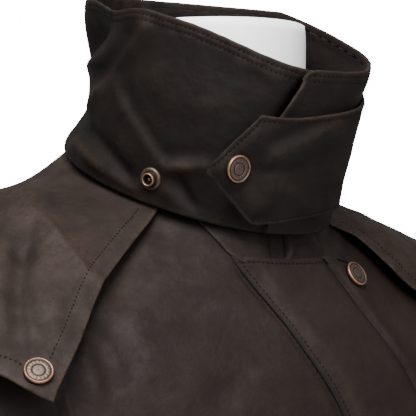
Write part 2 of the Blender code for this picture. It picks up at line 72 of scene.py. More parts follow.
camera_data = bpy.data.cameras.new("studio_camera")
camera_data.sensor_width = SENSOR
camera_data.lens = FOCAL_LENGTH / PICTURE_SIDE * SENSOR
camera_data.clip_start = 0.05
camera_data.clip_end = 50
camera = bpy.data.objects.new("studio_camera", camera_data)
bpy.context.scene.collection.objects.link(camera)
camera.location = Vector(eye)
camera.rotation_euler = Vector(-towards_eye).to_track_quat("-Z", "Y").to_euler()
bpy.context.scene.camera = camera


def in_picture(points):
    """Where points land in the picture, as x and y in its pixels, and the metres that one pixel covers there.
    Formula: the offset from the eye along the right and up axes, over its depth, times the focal length."""
    offset = points - eye
    depth = -(offset @ towards_eye)
    x = PICTURE_SIDE / 2 + FOCAL_LENGTH * (offset @ rightwards) / depth
    y = PICTURE_SIDE / 2 - FOCAL_LENGTH * offset[..., 2] / depth
    return x, y, depth / FOCAL_LENGTH


print("focal length:", round(camera_data.lens, 1), "mm")

# %% [markdown]
# ## Curves that everything else uses
# A garment's outline is given by a few measured rows, and cubics run smoothly through them. Three small
# shapes do the rest: a bump (a bell curve), a step (a smooth rise from 0 to 1) and a table lookup.

# %% Interpolation helpers


def spline(rows, s):
    """Cubic Hermite curve: at s = k it passes row k, with the central difference there as its slope."""
    rows = np.asarray(rows, float)
    s = np.asarray(s, float)
    k = np.clip(np.floor(s).astype(int), 0, len(rows) - 2)
    slopes = np.gradient(rows, axis=0)
    t = (s - k)[..., None]
    t2, t3 = t * t, t * t * t
    from_a = (2 * t3 - 3 * t2 + 1) * rows[k] + (t3 - 2 * t2 + t) * slopes[k]
    from_b = (3 * t2 - 2 * t3) * rows[k + 1] + (t3 - t2) * slopes[k + 1]
    return from_a + from_b


def lookup(pairs, at):
    """The second column at each value of the first, by the same cubics between uneven places."""
    first, second = np.array(pairs, float).T
    k = np.clip(np.searchsorted(first, at) - 1, 0, len(first) - 2)
    gap = first[k + 1] - first[k]
    t = np.clip((at - first[k]) / gap, 0, 1)
    slopes = np.gradient(second, first)
    t2, t3 = t * t, t * t * t
    from_a = (2 * t3 - 3 * t2 + 1) * second[k] + (t3 - 2 * t2 + t) * gap * slopes[k]
    from_b = (3 * t2 - 2 * t3) * second[k + 1] + (t3 - t2) * gap * slopes[k + 1]
    return from_a + from_b


def bump(value, centre, width):
    """exp of minus the square of (value - centre) / width."""
    return np.exp(-(((value - centre) / width) ** 2))


def step(value, start, end):
    """0 before start, 1 after end, and 3 t^2 - 2 t^3 between them."""
    t = np.clip((value - start) / (end - start), 0, 1)
    return t * t * (3 - 2 * t)


# %% [markdown]
# ## The measured shape of the coat
# These tables are the ones that the solids were made from: rings round the body from hem to neck, rings of
# the cape and of a sleeve, and the curves of the edges. Each ring is a superellipse, which is an ellipse
# whose power above 2 makes it a little squarer, like a chest.

# %% Sizes and rings
WALL, COLLAR_WALL = 0.0018, 0.0026
AIR = 0.0012  # between the cloth and what it lies on
SEAM = 0.0018  # radians from a panel's edge to the middle of its side seam
NECK_Z, NECK_Y, NECK_TILT, NECK_X = 1.456, -0.02, 0.35, -0.008
NECK_MIDDLE_Y = -0.030
FORM_BOTTOM = 0.86
NECK_TOP = 1.5450
BASE_RADIUS, POLE_RADIUS = 0.19, 0.0125


def neck_plane(y):
    """Height of the neck seam: it drops towards the front by NECK_TILT."""
    return NECK_Z + NECK_TILT * (y - NECK_Y)


# Columns of a ring: half width, side height, front depth, front height, back depth, back height, power,
# centre y, power of the change of height round the ring, centre x.
def level(width, z, front, back, power):
    """A ring that lies level, round the pole."""
    return (width, z, front, z, back, z, power, 0.0, 2.0, 0.0)


def on_neck(width, depth, rise):
    """A ring that follows the neck seam's plane, raised by rise."""
    heights = [neck_plane(NECK_MIDDLE_Y + ahead) + rise for ahead in (0, -depth, depth)]
    return (width, heights[0], depth, heights[1], depth, heights[2], 2.10, NECK_MIDDLE_Y, 1.0, NECK_X)


BODY_RINGS = (
    level(0.318, 0.235, 0.240, 0.222, 2.10),
    level(0.282, 0.500, 0.212, 0.192, 2.10),
    level(0.246, 0.780, 0.184, 0.160, 2.15),
    level(0.222, 1.000, 0.163, 0.135, 2.20),
    level(0.228, 1.200, 0.158, 0.132, 2.20),
    (0.234, 1.320, 0.154, 1.290, 0.130, 1.310, 2.20, 0.000, 2.0, 0.000),
    (0.213, 1.388, 0.142, 1.345, 0.112, 1.378, 2.15, -0.003, 2.0, 0.000),
    (0.144, 1.421, 0.113, 1.386, 0.082, 1.431, 2.10, -0.014, 1.5, -0.002),
    on_neck(0.0685, 0.082, -0.001),
    on_neck(0.0675, 0.081, 0.006),
)
ARMHOLE_MIDDLE, SHOULDER, SEAM_ROW, NECK = 5.0, 6.0, 8.0, 9.0  # rows of BODY_RINGS
ARMHOLE_HALF_ANGLE, SLEEVE_GAP, SLEEVE_EASE = 0.43, 0.009, 0.004

CAPE_RINGS = (
    on_neck(0.0705, 0.084, 0.006),
    on_neck(0.0720, 0.0855, 0.0018),
    (0.148, 1.4270, 0.121, 1.390, 0.090, 1.4360, 2.10, -0.014, 1.5, -0.002),
    (0.226, 1.3960, 0.156, 1.352, 0.128, 1.384, 2.15, -0.003, 2.0, 0.000),
    (0.292, 1.3550, 0.176, 1.308, 0.150, 1.312, 2.15, 0.000, 2.0, 0.000),
    (0.330, 1.2850, 0.190, 1.245, 0.166, 1.200, 2.15, 0.000, 2.0, 0.000),
)
CAPE_PUFF = 0.012
# Columns: part of the way to the hem, degrees from the front.
CAPE_EDGE_RIGHT = (
    (-1.0, 58.0), (0.0, 57.5), (0.15, 52.0), (0.31, 47.5), (0.50, 44.0), (0.75, 39.5), (1.0, 37.5),
)
CAPE_EDGE_LEFT = (
    (-1.0, 37.0), (0.0, 36.5), (0.12, 34.5), (0.36, 28.8), (0.50, 29.5), (0.75, 31.0), (1.0, 32.0),
)
# Columns: degrees from the front, row of CAPE_RINGS.
CAPE_HEM = ((30.0, 3.72), (38.0, 3.69), (46.0, 3.53), (62.0, 3.60), (90.0, 4.20), (135.0, 4.75), (180.0, 5.0))
# Columns: inner x and z, outer x and z, half depth, centre y, share of the armhole's curve.
SLEEVE_RINGS = (
    (0.2285, 1.203, 0.214, 1.389, 0.068, 0.000, 1.0),
    (0.2430, 1.183, 0.256, 1.366, 0.073, -0.002, 0.45),
    (0.2500, 1.150, 0.287, 1.318, 0.076, -0.004, 0.1),
    (0.2540, 1.100, 0.305, 1.245, 0.077, -0.006, 0.0),
    (0.2620, 1.040, 0.324, 1.150, 0.074, -0.010, 0.0),
    (0.2820, 0.950, 0.355, 1.010, 0.069, -0.020, 0.0),
    (0.3020, 0.860, 0.383, 0.895, 0.066, -0.036, 0.0),
    (0.3170, 0.790, 0.402, 0.808, 0.066, -0.050, 0.0),
)

# %% [markdown]
# ## Surfaces as functions of two parameters
# Each piece of the coat is a function: give it a row and an angle, and it returns points in space. The whole
# grid goes in as arrays, so numpy works out thousands of points in one call.

# %% Body, cape and sleeve surfaces
# Skirt folds: their height, the row where they have faded, and the angles beside the opening where they grow.
SKIRT_FOLD, SKIRT_FOLDS_END, SKIRT_FOLDS_CLEAR = 0.013, 4.2, (0.25, 0.7)


def ring_points(rings, s, angle):
    """Superellipse rings: x = centre + width sign(sin) |sin|^(2/power), y the same with cosine and depth,
    and the height goes from the side's to the front's or back's as |cos|^lean."""
    s, angle = np.broadcast_arrays(np.asarray(s, float), np.asarray(angle, float))
    row = spline(rings, s)
    columns = np.moveaxis(row, -1, 0)
    width, side_z, front, front_z, back, back_z, power, centre, lean, centre_x = columns
    sine, cosine = np.sin(angle), np.cos(angle)
    bend = 2 / power
    x = centre_x + width * np.sign(sine) * np.abs(sine) ** bend
    depth = np.where(cosine >= 0, front, back)
    y = centre - depth * np.sign(cosine) * np.abs(cosine) ** bend
    z = side_z + (np.where(cosine >= 0, front_z, back_z) - side_z) * np.abs(cosine) ** lean
    return np.stack([x, y, z], -1)


def body_points(s, angle):
    """The body's rings, moved out by skirt folds: cos(7 angle) and a finer wave, fading upwards."""
    points = ring_points(BODY_RINGS, s, angle)
    s, angle = np.broadcast_arrays(np.asarray(s, float), np.asarray(angle, float))
    low = np.clip(1 - s / SKIRT_FOLDS_END, 0, 1)
    clear = step(np.abs(angle), *SKIRT_FOLDS_CLEAR)
    wave = np.cos(7 * angle + 0.5 * np.sin(2 * angle + 0.4)) + 0.35 * np.sin(11 * angle + 1.1)
    out = SKIRT_FOLD * low * clear * wave
    points[..., 0] += out * np.sin(angle)
    points[..., 1] -= out * np.cos(angle)
    return points


def angle_at_x(x, s):
    """The angle on the body's front at which a ring has this x: the ring's formula turned round."""
    row = spline(BODY_RINGS, s)
    part = np.clip((x - row[..., 9]) / row[..., 0], -1, 1)
    return np.arcsin(np.sign(part) * np.abs(part) ** (row[..., 6] / 2))


def front_height(s):
    """The height of the body's front at a row."""
    return spline(BODY_RINGS, s)[..., 3]


def armhole_angle(s):
    """Half the armhole's opening: the ellipse sqrt(1 - ((s - middle) / half)^2), and the seam's gap."""
    part = np.clip(1 - ((s - ARMHOLE_MIDDLE) / (SHOULDER - ARMHOLE_MIDDLE)) ** 2, 0, 1)
    return SEAM + ARMHOLE_HALF_ANGLE * np.sqrt(part)


def cape_points(part, angle):
    """The cape's rings at a part of the way from neck to hem, puffed up over the wearer's right shoulder."""
    row = 1 + np.where(part < 0, part, part * (lookup(CAPE_HEM, np.degrees(np.abs(angle))) - 1))
    points = ring_points(CAPE_RINGS, row, angle)
    over_shoulder = bump(points[..., 0], -0.135, 0.045) * bump(points[..., 1], 0.0, 0.11)
    points[..., 2] += CAPE_PUFF * step(part, 0, 0.25) * over_shoulder
    return points


def sleeve_points(turn, rows):
    """A tube: ellipses between the sleeve's inner and outer lines; the first is the armhole's curve."""
    s = ARMHOLE_MIDDLE + (1 - SLEEVE_GAP) * np.sin(turn)
    root = body_points(s, math.pi / 2 - (ARMHOLE_HALF_ANGLE - SLEEVE_EASE) * np.cos(turn))
    at = rows * (len(SLEEVE_RINGS) - 1)
    columns = np.moveaxis(spline(SLEEVE_RINGS, at), -1, 0)[..., None]
    inner_x, inner_z, outer_x, outer_z, depth, centre, share = columns
    up = np.sin(turn)
    x = (inner_x + outer_x) / 2 + (outer_x - inner_x) / 2 * up
    z = (inner_z + outer_z) / 2 + (outer_z - inner_z) / 2 * up
    free = np.stack([x, centre - depth * np.cos(turn), z], -1)
    share = np.clip(share, 0, 1)[..., None]
    shift = free.mean(axis=1, keepdims=True) - free[:1].mean(axis=1, keepdims=True)
    points = share * (root[None] + shift) + (1 - share) * free
    points[0] = root
    return points


# %% [markdown]
# ## The stand-up collar
# The collar is a band whose lower edge follows the neck seam and whose rim leans forward. It pinches in at
# the nape and on the wearer's left, and one big fold runs up its side. The tab and both laps are the same
# band again, moved out by the thickness of what they lie on.

# %% Collar surface
COLLAR_SEAM = (-0.0085, -0.030, 0.0780, 0.0905)  # centre x and y, half width, half depth
COLLAR_RIM = (-0.0055, -0.055, 0.0755, 0.0970)
COLLAR_CLEAR = 0.0016
COLLAR_RIM_Z = 1.559
COLLAR_START, COLLAR_END = 10.0, -374.0
COLLAR_LAP = 0.0052
COLLAR_SIDE_RISE = 0.011
COLLAR_FAR_RISE = 0.0028
WAIST_LEFT, WAIST_BACK, FULLNESS, FOLD_RIDGE, FOLD_VALLEY = 0.011, 0.009, 0.003, 0.004, 0.009
# Columns: part of the collar's height, degrees round it.
COLLAR_FOLD = ((0.3, -135.0), (0.45, -128.0), (0.7, -96.0), (1.0, -76.0))
TAB_TIP, TAB_HIGH_CORNER, TAB_LOW_CORNER, TAB_END = -39.5, -27.0, -22.0, 88.0
TAB_TIP_HEIGHT = 0.29
TAB_WALL = 0.0026
# Columns: degrees round the collar, part of the collar's height.
TAB_LOW = ((-40.0, 0.02), (-23.0, 0.03), (0.0, 0.10), (50.0, 0.15), (90.0, 0.15))
TAB_HIGH = ((-40.0, 0.64), (-28.0, 0.655), (0.0, 0.74), (50.0, 0.81), (90.0, 0.81))


def collar_points(angle, height, lap=0.0):
    """A band from its seam to its rim, each an ellipse: points go straight from one to the other, then out by
    the lap, a slight fullness, a ridge with a valley beside it, and in by two waists."""
    angle, height = np.broadcast_arrays(np.asarray(angle, float), np.asarray(height, float))
    sine, cosine = np.sin(np.radians(angle)), np.cos(np.radians(angle))
    x0, y0, w0, d0 = COLLAR_SEAM
    x1, y1, w1, d1 = COLLAR_RIM
    seam_y = y0 - d0 * cosine
    rim_y = y1 - d1 * cosine
    seam_z = neck_plane(seam_y) + COLLAR_CLEAR + 0.0022 * sine**2
    near = (angle + 180) % 360 - 180
    rise = COLLAR_SIDE_RISE * step(-near, 8, 60) * (1 - step(-near, 72, 100))
    ahead = np.minimum(rim_y - NECK_Y, 0)
    behind = np.maximum(rim_y - NECK_Y, 0)
    turned = angle % 360
    far_rise = COLLAR_FAR_RISE * step(turned, 70, 120) * (1 - step(turned, 205, 240))
    rim_z = COLLAR_RIM_Z + 0.36 * ahead + 0.15 * behind + rise + far_rise
    waist_left = WAIST_LEFT * step(height, 0.03, 0.35) * step(near, 5, 50) * (1 - step(near, 90, 150))
    waist_back = WAIST_BACK * step(height, 0.02, 0.25) * step(-near, 75, 125)
    full = FULLNESS * np.sin(math.pi * height)
    full = full - (waist_left + waist_back) * (1 - step(height, 0.5, 1.0))
    fold_at = lookup(COLLAR_FOLD, height)
    ridge = FOLD_RIDGE * bump(near, fold_at, 13) * step(near, -135, -105) * step(height, 0.25, 0.6)
    valley = -FOLD_VALLEY * bump(near, fold_at - 22, 12)
    valley = valley * step(height, 0.40, 0.8) * step(near, -132, -112)
    valley = valley * (1 - 0.75 * step(height, 0.82, 1.0))
    out = full + ridge + valley + lap
    x = (x0 + w0 * sine) * (1 - height) + (x1 + w1 * sine) * height + out * sine
    y = seam_y * (1 - height) + rim_y * height - out * cosine
    z = seam_z * (1 - height) + rim_z * height
    return np.stack([x, y, z], -1)


# %% [markdown]
# ## From a grid to a piece of cloth
# A sheet of cloth has two faces and a turned edge. Here the outer face is the grid, the inner face is the
# same grid moved in by the wall, and both curve towards each other in the last millimetre before an edge.
# Solidify could add the wall, but making both faces by hand gives the round edge and keeps the mesh closed.
# The places of the points on the flat cloth, in metres, become the UV map, so that the weave follows it.

# %% Grid helpers
EDGE_ROUND = 0.0009
EDGE_WEAR_REACH = 0.0016
grids = {}  # the points and normals of each finished piece, by its node, for the stitches and the snaps


def unit(vectors):
    """Vectors at length 1."""
    return vectors / np.linalg.norm(vectors, axis=-1, keepdims=True)


def normals_of(points):
    """Unit cross product of a grid's slopes along its two directions."""
    return unit(np.cross(np.gradient(points, axis=1), np.gradient(points, axis=0)))


def outward_normals(points, closed=False):
    """The grid's normals, all turned to face away from the form's axis, or from a tube's own middle line."""
    if closed:
        wrapped = np.concatenate([points[:, -2:-1], points, points[:, 1:2]], axis=1)
        normal = normals_of(wrapped)[:, 1:-1]
        middle = points.mean(axis=1, keepdims=True)
    else:
        normal = normals_of(points)
        middle = np.array([0.0, 0.0, 1.0]) * points[..., 2:3]
    return normal * np.sign(((points - middle) * normal)[..., :2].sum())


def run_of(points, axis):
    """Distance along the grid's rows or columns: the running sum of the gaps between neighbours."""
    gaps = np.linalg.norm(np.diff(points, axis=axis), axis=-1)
    pad = [(0, 0), (0, 0)]
    pad[axis] = (1, 0)
    return np.pad(np.cumsum(gaps, axis=axis), pad)


def edge_distance(points, closed=False):
    """How far each point is from the nearest open edge, measured along the grid."""
    down = run_of(points, 0)
    nearest = np.minimum(down, down[-1:] - down)
    if not closed:
        across = run_of(points, 1)
        nearest = np.minimum(nearest, np.minimum(across, across[:, -1:] - across))
    return nearest


def edged(count, length, lines=()):
    """Steps from 0 to 1: even ones, close ones at both ends, and three at each line given in metres."""
    close = np.array([0.0, 0.0003, 0.0009, 0.0020])
    more = [close, length - close]
    for line in lines:
        for centre in (line, length - line):
            more.append(centre + np.array([-0.0012, 0.0, 0.0012]))
    more = np.concatenate(more)
    even = np.linspace(0, length, count)
    apart = np.abs(even[:, None] - more[None, :]).min(axis=1)
    kept = even[apart > 0.35 * length / count]
    return np.unique(np.round(np.concatenate([more, kept]), 6)) / length


def grid_faces(index):
    """Quads of a grid of numbers: each is a place, the next in its row, and the two in the row below."""
    return np.stack([index[:-1, :-1], index[:-1, 1:], index[1:, 1:], index[1:, :-1]], -1).reshape(-1, 4)


def tube_faces(index):
    """The quads of a grid whose last column joins its first."""
    return grid_faces(np.concatenate([index, index[:, :1]], axis=1))


def shell_faces(index, closed):
    """The outer quads, the inner quads the other way up, and strips of quads along each open edge."""
    inner = index + index.max() + 1
    edges = [(index[0], inner[0]), (inner[-1], index[-1])]
    if not closed:
        edges += [(inner[:, 0], index[:, 0]), (index[:, -1], inner[:, -1])]
    strips = [grid_faces(np.stack(pair)[:, ::-1]) for pair in edges]
    return np.concatenate([grid_faces(index), grid_faces(inner)[:, ::-1], *strips])


def mesh_piece(name, places, faces, node=None, flat=None, value=None):
    """Puts points, quads, a UV map and a value of wear and painted shade into a new mesh by foreach_set. The
    piece rides on the one body, root, and takes the place of its node."""
    mesh = bpy.data.meshes.new(name)
    mesh.vertices.add(len(places))
    mesh.vertices.foreach_set("co", places.astype(np.float32).ravel())
    mesh.loops.add(faces.size)
    mesh.loops.foreach_set("vertex_index", faces.astype(np.int32).ravel())
    mesh.polygons.add(len(faces))
    mesh.polygons.foreach_set("loop_start", np.arange(0, faces.size, faces.shape[1], dtype=np.int32))
    mesh.polygons.foreach_set("use_smooth", np.ones(len(faces), bool))
    if flat is not None:
        layer = mesh.uv_layers.new(name="flat_cloth")
        layer.data.foreach_set("uv", flat.astype(np.float32).ravel())
    if value is not None:
        attribute = mesh.attributes.new("wear", "FLOAT", "POINT")
        attribute.data.foreach_set("value", value.astype(np.float32))
    mesh.update(calc_edges=True)
    piece = bpy.data.objects.new(name, mesh)
    bpy.context.scene.collection.objects.link(piece)
    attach(piece, "root")
    if node:
        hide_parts(node)
    return piece


def cloth(name, node, points, wall, closed=False, wear=None, edge_wear=1.0):
    """A closed shell: outer grid, inner grid one wall further in, and a strip of faces round the open edges.
    A tube's last column repeats its first one, for the UV map alone. Wear goes up to 1, where wax has rubbed
    off, and below 0 it is painted shade: a darkening for the shadow in narrow gaps and troughs."""
    normal = outward_normals(points, closed)
    grids[node] = (points, normal)
    distance = edge_distance(points, closed)
    t = np.clip(distance / EDGE_ROUND, 0, 1)
    round_off = 0.5 * wall * (1 - np.sqrt(1 - (1 - t) ** 2))
    outer = points - normal * round_off[..., None]
    inner = points - normal * (wall - round_off)[..., None]
    rows, columns = outer.shape[:2]
    own = np.arange(rows * columns).reshape(rows, columns)
    corners = shell_faces(own, closed)
    index = own
    if closed:
        outer, inner = outer[:, :-1], inner[:, :-1]
        index = np.arange(rows * (columns - 1)).reshape(rows, columns - 1)
        index = np.concatenate([index, index[:, :1]], axis=1)
    faces = shell_faces(index, closed)
    places = np.concatenate([outer.reshape(-1, 3), inner.reshape(-1, 3)])
    quad = places[faces[0]]
    if np.cross(quad[1] - quad[0], quad[3] - quad[0]) @ normal[0, 0] < 0:
        faces, corners = faces[:, ::-1], corners[:, ::-1]
    u, v = run_of(points, 1), run_of(points, 0)
    flat = np.stack([u - 0.5 * u[:, -1:], v], -1).reshape(-1, 2)
    flat = np.concatenate([flat, flat])[corners]
    value = edge_wear * np.exp(-distance / EDGE_WEAR_REACH)
    if wear is not None:
        value = np.clip(np.where(wear < 0, wear, np.maximum(value, wear)), -1, 1)
    value = value[:, :-1] if closed else value
    value = np.concatenate([value.ravel()] * 2)
    quad = places[faces[: len(faces) // 2]]
    area = np.linalg.norm(np.cross(quad[:, 2] - quad[:, 0], quad[:, 3] - quad[:, 1]), axis=-1).sum() / 2
    print(f"{name}: {len(faces) * 2} triangles, {area:.3f} m2, {u[:, -1].max():.2f} x {v[-1].max():.2f} m")
    return mesh_piece(name, places, faces, node, flat, value)


# %% [markdown]
# ## Creases
# Waxed cotton is stiff, so it creases in long soft ridges and troughs. Each one is a line with a width and a
# height, and the cloth moves out or in by a bell curve of its distance from that line. Where the picture
# shows a crease, its ends are given in the picture's pixels. On the sides that it doesn't show, they are
# given on the flat cloth, as parts of its width and length.

# %% Crease helpers


def pressed(x, y, unit_size, table, power=2.0):
    """Sum over the table of height * exp(-(distance to the line / width)^power), fading at the line's ends.
    Power 2 is a soft crease and 1 a sharp fold. Columns of every crease table: x and y of both ends, then
    width and height in mm."""
    total = np.zeros_like(x)
    for x0, y0, x1, y1, width, height in table:
        dx, dy = x1 - x0, y1 - y0
        long = dx * dx + dy * dy
        t = ((x - x0) * dx + (y - y0) * dy) / long
        on = np.clip(t, 0, 1)
        apart = np.hypot(x - x0 - on * dx, y - y0 - on * dy) * unit_size
        fade = step(t, -0.12, 0.22) * (1 - step(t, 0.78, 1.12))
        total += 0.001 * height * np.exp(-((apart / (0.001 * width)) ** power)) * fade
    return total


def seen_creases(points, normal, table, power=2.0):
    """Creases whose ends are pixels of the picture, on the part of the surface that faces it."""
    x, y, pixel = in_picture(points)
    facing = step(normal @ towards_eye, 0.02, 0.22)
    return pressed(x, y, pixel, table, power) * facing


def flat_creases(points, table):
    """Creases whose ends are parts of the cloth's width and length."""
    u, v = run_of(points, 1), run_of(points, 0)
    wide, long = u[:, -1].mean(), v[-1].mean()
    scaled = [(a * wide, b * long, c * wide, d * long, *shape) for a, b, c, d, *shape in table]
    return pressed(u, v, 1.0, scaled)


def unevenness(points, size, seed):
    """A gentle lie of the cloth: a sum of six sine waves in different directions, within plus and minus 1."""
    total = 0
    for k in range(6):
        turn = seed + 2.4 * k
        direction = np.array([math.cos(turn), math.sin(turn), math.sin(1.7 * turn)])
        total = total + np.sin(points @ direction * (2 * math.pi / size) * (0.7 + 0.13 * k) + 5.1 * k + seed)
    return total / 6


HEM_PROUD, HEM_GROOVE, HEM_PUCKER = 0.0005, 0.00045, 0.00016


def puckers(run, pitch, bend):
    """Small gathers along a row of stitches: a sine of the run, with an uneven beat."""
    return np.sin(run * (2 * math.pi / pitch) + 2 * np.sin(run * bend))


def hem_relief(distance, inset, run):
    """A turned hem: proud up to its stitch line, with a groove along the stitches, and small puckers."""
    proud = HEM_PROUD * (1 - step(distance, inset - 0.0008, inset + 0.0008))
    groove = -HEM_GROOVE * bump(distance, inset, 0.0009)
    return proud + groove + HEM_PUCKER * puckers(run, 0.0125, 90) * bump(distance, inset, 0.004)


# %% [markdown]
# ## Stitching
# A lockstitch shows as a row of short threads with their ends in needle holes. One thread is a bent capsule
# of four rings with six corners, and its middle stands proud of the cloth. All threads of a piece are one
# mesh: numpy places every copy along the stitch line at once.

# %% Thread helpers
STITCH_PITCH = 0.0028
STITCH_LENGTH = 0.0017
THREAD_RADIUS = 0.00036
thread_groups = {}


def sample_grid(points, rows, columns):
    """Points at fractional rows and columns of a grid, by bilinear interpolation."""
    rows = np.clip(rows, 0, points.shape[0] - 1.0001)
    columns = np.clip(columns, 0, points.shape[1] - 1.0001)
    i, j = np.floor(rows).astype(int), np.floor(columns).astype(int)
    a, b = (rows - i)[..., None], (columns - j)[..., None]
    near = points[i, j] * (1 - b) + points[i, j + 1] * b
    far = points[i + 1, j] * (1 - b) + points[i + 1, j + 1] * b
    return near * (1 - a) + far * a


def inset_line(layers, side, inset, start=0.0, end=1.0, dense=4):
    """A line a fixed distance inside one edge of a grid: top, bottom, first or last (column). The layers
    are the grid's points and whatever else is read at the same places, such as its normals."""
    if side not in ("top", "bottom"):
        layers = [np.swapaxes(layer, 0, 1) for layer in layers]
    if side in ("bottom", "last"):
        layers = [layer[::-1] for layer in layers]
    run = run_of(layers[0], 0)
    count = run.shape[1]
    inset = np.broadcast_to(inset, count)
    rows = np.array([np.interp(inset[k], run[:, k], np.arange(len(run))) for k in range(count)])
    columns = np.linspace(start * (count - 1), end * (count - 1), int(dense * count))
    return [sample_grid(layer, np.interp(columns, np.arange(count), rows), columns) for layer in layers]


def stitches(group, path, up):
    """Threads along a path: the path is cut into even pitches, and each thread is laid from one needle hole
    to the next. up holds the way out of the cloth at each point of the path."""
    gaps = np.linalg.norm(np.diff(path, axis=0), axis=-1)
    run = np.concatenate([[0], np.cumsum(gaps)])
    starts = np.arange(0.0008, run[-1] - STITCH_LENGTH, STITCH_PITCH)
    if len(starts) == 0:
        return
    tail, head, out = (
        np.stack([np.interp(starts + ahead, run, line[:, k]) for k in range(3)], -1)
        for line, ahead in ((path, 0), (path, STITCH_LENGTH), (up, STITCH_LENGTH / 2))
    )
    thread_groups.setdefault(group, []).append((tail, head, unit(out)))


def sew(name, group, thin=1.0):
    """Builds all threads of a group as one mesh. Each has four rings along it, small at its ends, whose
    heights off the cloth are given in radii of the thread."""
    tail, head, up = (np.concatenate(parts) for parts in zip(*thread_groups[group]))
    side = unit(np.cross(up, unit(head - tail)))
    ring_at = np.array([0.0, 0.3, 0.7, 1.0])[None, :, None]
    ring_size = np.array([0.45, 1.0, 1.0, 0.45])[None, :, None, None] * THREAD_RADIUS * thin
    ring_rise = np.array([-0.5, 0.7, 0.7, -0.5])[None, :, None] * THREAD_RADIUS * thin
    turn = np.linspace(0, 2 * math.pi, 6, endpoint=False)[None, :, None]
    centre = tail[:, None] + (head - tail)[:, None] * ring_at + up[:, None] * ring_rise
    spoke = side[:, None] * np.cos(turn) + up[:, None] * np.sin(turn)
    places = (centre[:, :, None] + spoke[:, None] * ring_size).reshape(-1, 3)
    ring = np.arange(24).reshape(4, 6)
    first, last = ring[0], ring[-1]
    ends = [first[[0, 3, 2, 1]], first[[0, 5, 4, 3]], last[[0, 1, 2, 3]], last[[0, 3, 4, 5]]]
    one = np.concatenate([tube_faces(ring), ends])
    faces = (one[None] + ring.size * np.arange(len(tail))[:, None, None]).reshape(-1, 4)
    corner = places[one] - places[:ring.size].mean(0)
    if (corner[:, 0] * np.cross(corner[:, 1], corner[:, 2])).sum() < 0:
        faces = faces[:, ::-1]
    print(f"{name}: {len(tail)} stitches")
    return mesh_piece(name, places, faces)


# %% [markdown]
# ## Fronts, back and storm flap
# The fronts and the back lie on the body's surface, and the storm flap lies on the left front. All of them
# share one relief, worked out from the same points of the body, so that the layers follow each other. Only
# the flap's hidden underside dips a little, up to 0.4 mm, into the fronts.

# %% Relief of the body
# Creases that the picture shows on the fronts, in its pixels.
FRONT_CREASES = (
    (108, 318, 138, 376, 6.0, -1.5), (128, 306, 158, 380, 8.0, 0.8), (82, 346, 98, 404, 5.5, 1.9),
    (98, 340, 118, 396, 5.0, -1.4), (66, 396, 76, 430, 1.8, 1.6), (52, 398, 60, 428, 3.0, -1.4),
    (250, 366, 208, 420, 10.0, -1.5), (272, 372, 238, 424, 9.0, 1.1), (172, 250, 140, 336, 14.0, 1.0),
    (186, 276, 312, 344, 10.0, 1.2), (180, 300, 280, 366, 9.0, -0.9), (196, 234, 236, 264, 5.0, 0.9),
    (170, 226, 160, 266, 6.0, -1.3), (206, 244, 262, 300, 7.0, -0.7), (345, 250, 392, 310, 5.0, 1.1),
    (366, 296, 410, 356, 6.0, -1.2), (300, 300, 350, 372, 9.0, 0.8), (286, 330, 322, 392, 8.0, -0.7),
)
# Creases of the left front alone, above the flap's top: a deep slot under the collar and pleats beside it.
STAND_CREASES = (
    (273, 206, 279, 264, 3.4, -9.0), (283, 212, 288, 262, 2.6, 2.6), (312, 212, 318, 262, 3.0, -4.2),
    (300, 214, 303, 262, 4.0, 1.4), (330, 214, 340, 262, 4.0, 1.6), (250, 214, 262, 256, 4.0, 1.0),
)


LIE, SKIRT_LIE, LIE_SIZE = 0.0007, 0.0022, 0.19  # height on the chest, more on the skirt, and spacing


def body_relief(points, normal):
    """The lie of the cloth over the body: a gentle unevenness, stronger down the skirt, and the creases."""
    skirt = step(points[..., 2], 1.15, 0.75)
    lie = (LIE + SKIRT_LIE * skirt) * unevenness(points, LIE_SIZE, 1.3)
    return lie + seen_creases(points, normal, FRONT_CREASES)


def body_rows():
    """Rows of the body's grid: sparse down the skirt, by sines round the armhole so that its ends are round,
    and dense over the chest, which is seen from close by."""
    skirt = np.linspace(0, 3.9, 60)
    hem = np.array([0.0011, 0.0034, 0.0075, 0.0630, 0.0675, 0.0720])
    bow = np.sin(np.linspace(0, 1.48, 30))
    lower, upper = ARMHOLE_MIDDLE - bow, ARMHOLE_MIDDLE + bow
    chest = np.linspace(SHOULDER, SEAM_ROW, 84)
    stand = np.linspace(SEAM_ROW, NECK, 6)
    return np.unique(np.round(np.concatenate([skirt, hem, lower, upper, chest, stand]), 5))


# %% Fronts, back and flap
FLAP_TOP_Z, FLAP_WIDTH, FRONT_LAP = 1.4080, 0.062, 0.014
# Columns: height, x.
FLAP_EDGE = ((0.23, 0.012), (1.10, 0.018), (1.27, 0.020), (1.33, 0.0015), (1.38, -0.0275), (1.45, -0.071))
UNDERLAP_EDGE = ((0.23, 0.060), (1.10, 0.062), (1.30, 0.060), (1.38, 0.035), (1.45, 0.006))
HEM_INSET, FLAP_INSET, FLAP_WALL = 0.018, 0.0038, 0.0012
# Beside the flap's free edge is a groove, with its place and width; along its seam both layers dip, and the
# front rises beyond.
EDGE_GROOVE, EDGE_GROOVE_AT, EDGE_GROOVE_WIDTH = 0.0022, -0.0008, 0.0018
SEAM_GROOVE, FLAP_SEAM_WIDTH, SEAM_RISE = 0.0030, 0.0050, 0.0012
# How far the left front and the flap lie out from the right front, and how far the flap's free edge dips.
UNDERLAP_LIFT, FLAP_LIFT, FLAP_DROP = 0.0022, 0.0038, 0.0030
# Reach of the painted shade, a dark line for the shadow beside the flap's free edge and along its seam, and
# the depth at which the stand's troughs are all painted shade.
EDGE_PAINTED_SHADE, SEAM_PAINTED_SHADE, SLOT_PAINTED_SHADE_DEPTH = 0.0009, 0.0016, 0.004
